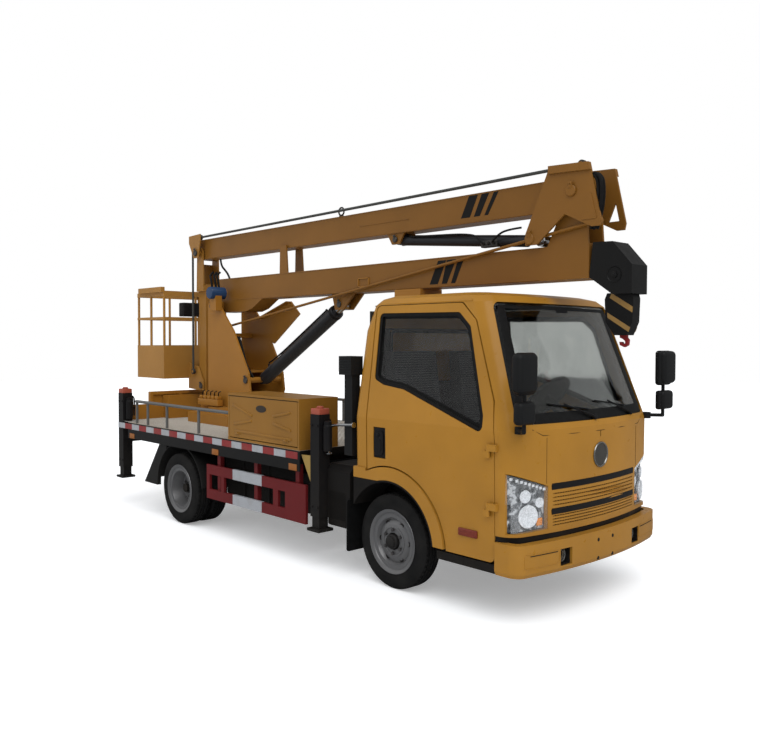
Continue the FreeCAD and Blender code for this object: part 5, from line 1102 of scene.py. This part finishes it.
def slanted(rows, low, high, y):
    """Stripes across a side face: each row gives the x of its lower and its upper edge's two ends."""
    return join([slab([(a, y, low), (b, y, low), (d, y, high), (c, y, high)], (0, 0.0015, 0))
                 for (a, b), (c, d) in rows])


lower_rows = [((1.371, 1.461), (1.463, 1.552)), ((1.505, 1.56), (1.559, 1.656)),
              ((1.604, 1.648), (1.68, 1.74))]
stripes = slanted(lower_rows, 2.282, 2.47, -0.1062)
both_sides(stripes, "lower_stripes", "lower_boom", stripe_black)
welds = [hose([(x, -0.1055, z) for x in (-1.55, 0, 2.45)], 0.0035, 6) for z in (2.262, 2.488)]
both_sides(join(welds), "lower_welds", "lower_boom", boom_paint)
root_hose = hose([(-1.68, -0.06, 2.49), (-1.69, -0.07, 2.54), (-1.76, -0.075, 2.6), (-1.83, -0.075, 2.65),
                  (-1.85, -0.07, 2.72)], 0.011, 8)
settle(root_hose, "root_hose", "lower_boom", black_rubber)
bracket = [bar((x_low, -0.115, z_low), (x_high, -0.104, z_high), 0.002)
           for x_low, x_high, z_low, z_high in ((0.493, 0.639, 2.3, 2.309), (0.493, 0.639, 2.373, 2.382),
                                                (0.493, 0.502, 2.3, 2.382), (0.63, 0.639, 2.3, 2.382))]
settle(join(bracket), "hose_guide", "lower_boom", turret_paint)
settle(pin_ends("lower_boom", ((0.18, 2.16),), 0.03), "lift_eye_pin", "lower_boom", pin_steel)

# ---------------------------------------------------------------- elbow
# Two thick side plates under a folded cover carry the fold pin. The hoses leave the lower boom in a
# black bundle over the cover, and keepers hold each pin.
dress(["elbow_link"], boom_paint)
elbow_pins = pin_ends("elbow_link", ((2.755, 2.853), (2.408, 2.554)), 0.04)
settle(elbow_pins, "elbow_pins", "elbow_link", boom_paint)
bundle = [hose([(2.84, y, 2.9), (2.9 + dx, y, 2.96), (2.968 + dx, y, 2.93), (2.982 + dx, y, 2.84),
                (2.97 + dx, y, 2.7), (2.93 + dx, y, 2.58)], 0.0125, 8)
          for dx in (0, -0.028) for y in (-0.148, -0.122)]
settle(join(bundle), "elbow_hoses", "elbow_link", black_rubber)
elbow_y = surface(["elbow_link"], (2.8, -1.3, 2.75), (0, 1, 0)).y
doubler = slab([(x, elbow_y, z) for x, z in ((2.835, 2.645), (2.955, 2.645), (2.91, 2.82), (2.89, 2.82))],
               (0, -0.004, 0), 0.01, 3)
settle(doubler, "elbow_doubler", "elbow_link", boom_paint)

# ---------------------------------------------------------------- upper boom
# The same welded box, a little slimmer, with black slanted stripes, the steel block and pipes of its
# own cylinder below, and a lifting ring on top.
dress(["upper_boom"], boom_paint)
upper_rows = [((1.683, 1.775), (1.765, 1.855)), ((1.815, 1.875), (1.893, 1.966)),
              ((1.92, 1.956), (2.012, 2.057))]
stripes = slanted(upper_rows, 2.787, 2.953, -0.0812)
both_sides(stripes, "upper_stripes", "upper_boom", stripe_black)
welds = [hose([(x, -0.0805, z) for x in (-2.1, 0, 2.6)], 0.003, 6) for z in (2.746, 2.959)]
welds.append(hose([(x, -0.0805, 2.846) for x in (0.487, 0.8, 1.105)], 0.004, 6))
both_sides(join(welds), "upper_welds", "upper_boom", boom_paint)
clear()
bpy.ops.mesh.primitive_torus_add(major_radius=0.036, minor_radius=0.008, major_segments=36, minor_segments=12,
                                 location=(0.135, 0, 3.028), rotation=(math.pi / 2, 0, 0))
ring = bpy.context.object
foot = slab([(0.1, -0.006, 2.963), (0.17, -0.006, 2.963), (0.155, -0.006, 3.0), (0.115, -0.006, 3.0)],
            (0, 0.012, 0), 0.006, 3)
settle(join([ring, foot]), "lifting_ring", "upper_boom", pin_steel)
foot_pin = pin_ends("upper_boom", ((0.934, 2.69),), 0.026)
settle(foot_pin, "upper_foot_pin", "upper_boom", pin_steel)
block = [bar((1.86, -0.05, 2.545), (2.02, 0.0, 2.6), 0.006, 3)]
block += [turned([(0.014, 0), (0.014, 0.02), (0.009, 0.022), (0.009, 0.03)], (x, -0.05, 2.575), OUTWARD, 6)
          for x in (1.89, 1.94, 1.99)]
settle(join(block), "valve_upper", "upper_barrel", pin_steel)
lines = [hose(points, 0.008, 8) for points in (
    [(1.9, -0.075, 2.575), (1.88, -0.09, 2.6), (1.8, -0.07, 2.66), (1.3, -0.055, 2.69), (1.1, -0.05, 2.7)],
    [(1.99, -0.075, 2.575), (2.05, -0.09, 2.62), (2.12, -0.06, 2.66), (2.24, -0.04, 2.665)])]
settle(join(lines), "upper_jack_hoses", "upper_barrel", black_rubber)

# ---------------------------------------------------------------- tip link, third arm and basket
# The tip link and the hanging arm are folded plate in boom paint. The basket is moulded in ochre
# fibreglass, with a black control box on its inner edge.
arm_paint = paint("arm_paint", (0.32, 0.145, 0.022), 0.36, 0.12, 0.1, specular=0.25)
dress(["tip_link", "third_arm"], arm_paint)
settle(pin_ends("tip_link", ((-2.23, 2.81),), 0.036), "tip_pins", "tip_link", pin_steel)
settle(pin_ends("third_arm", ((-2.23, 1.3),), 0.032), "basket_pins", "third_arm", pin_steel)
ochre = paint("basket_ochre", (0.36, 0.17, 0.03), 0.5, 0.05, 0.1, specular=0.3, grain=40)
dress(["basket"], ochre)
control = join([bar((-2.62, -0.16, 2.1), (-2.5, 0.16, 2.26), 0.01, 3)]
               + [turned([(0.011, 0), (0.011, 0.012), (0.006, 0.015)], (-2.62, y, z), (-1, 0, 0), 16)
                  for y in (-0.1, -0.04, 0.02, 0.08) for z in (2.15, 2.21)])
settle(control, "basket_controls", "basket", trim_black)

# ---------------------------------------------------------------- boom head and hook
# A black plate head bolted to the lower boom's end, a hook block crossed by yellow stripes and a
# red forged hook.
head_black = paint("head_black", (0.006, 0.0065, 0.007), 0.45, 0.05, 0.05, specular=0.18)
tree = head_black.node_tree
shader = tree.nodes["Principled BSDF"]
place = tree.nodes["Texture Coordinate"].outputs["Object"]
HOOK_TOP = 1.866              # below this height the forging is red
hook_part = add_math(tree, "LESS_THAN", height_of(tree, place), HOOK_TOP)
black = shader.inputs["Base Color"].links[0].from_socket
feed(tree, shader, {"Base Color": add_mix(tree, hook_part, black, (0.22, 0.015, 0.015))})
dress(["boom_head"], head_black)
band = [slab([(x, -0.0465, z) for x, z in corners], (0, 0.0015, 0))
        for corners in (((3.0, 2.149), (2.985, 2.118), (3.155, 2.015), (3.157, 2.055)),
                        ((2.968, 2.02), (2.97, 1.985), (3.128, 1.888), (3.14, 1.918)))]
both_sides(join(band), "hook_stripes", "lower_boom", sheeting("stripe_yellow", (0.3, 0.17, 0.045)))
HEAD_PIN = (3.05, -0.1, 2.27)
rings = [turned([(0.045, -0.002), (0.052, 0.004), (0.052, -0.002)], HEAD_PIN, OUTWARD, 32, ring=True),
         turned([(0.022, -0.002), (0.022, 0.006), (0.006, 0.008)], HEAD_PIN, OUTWARD, 24)]
both_sides(join(rings), "head_rings", "lower_boom", head_black)
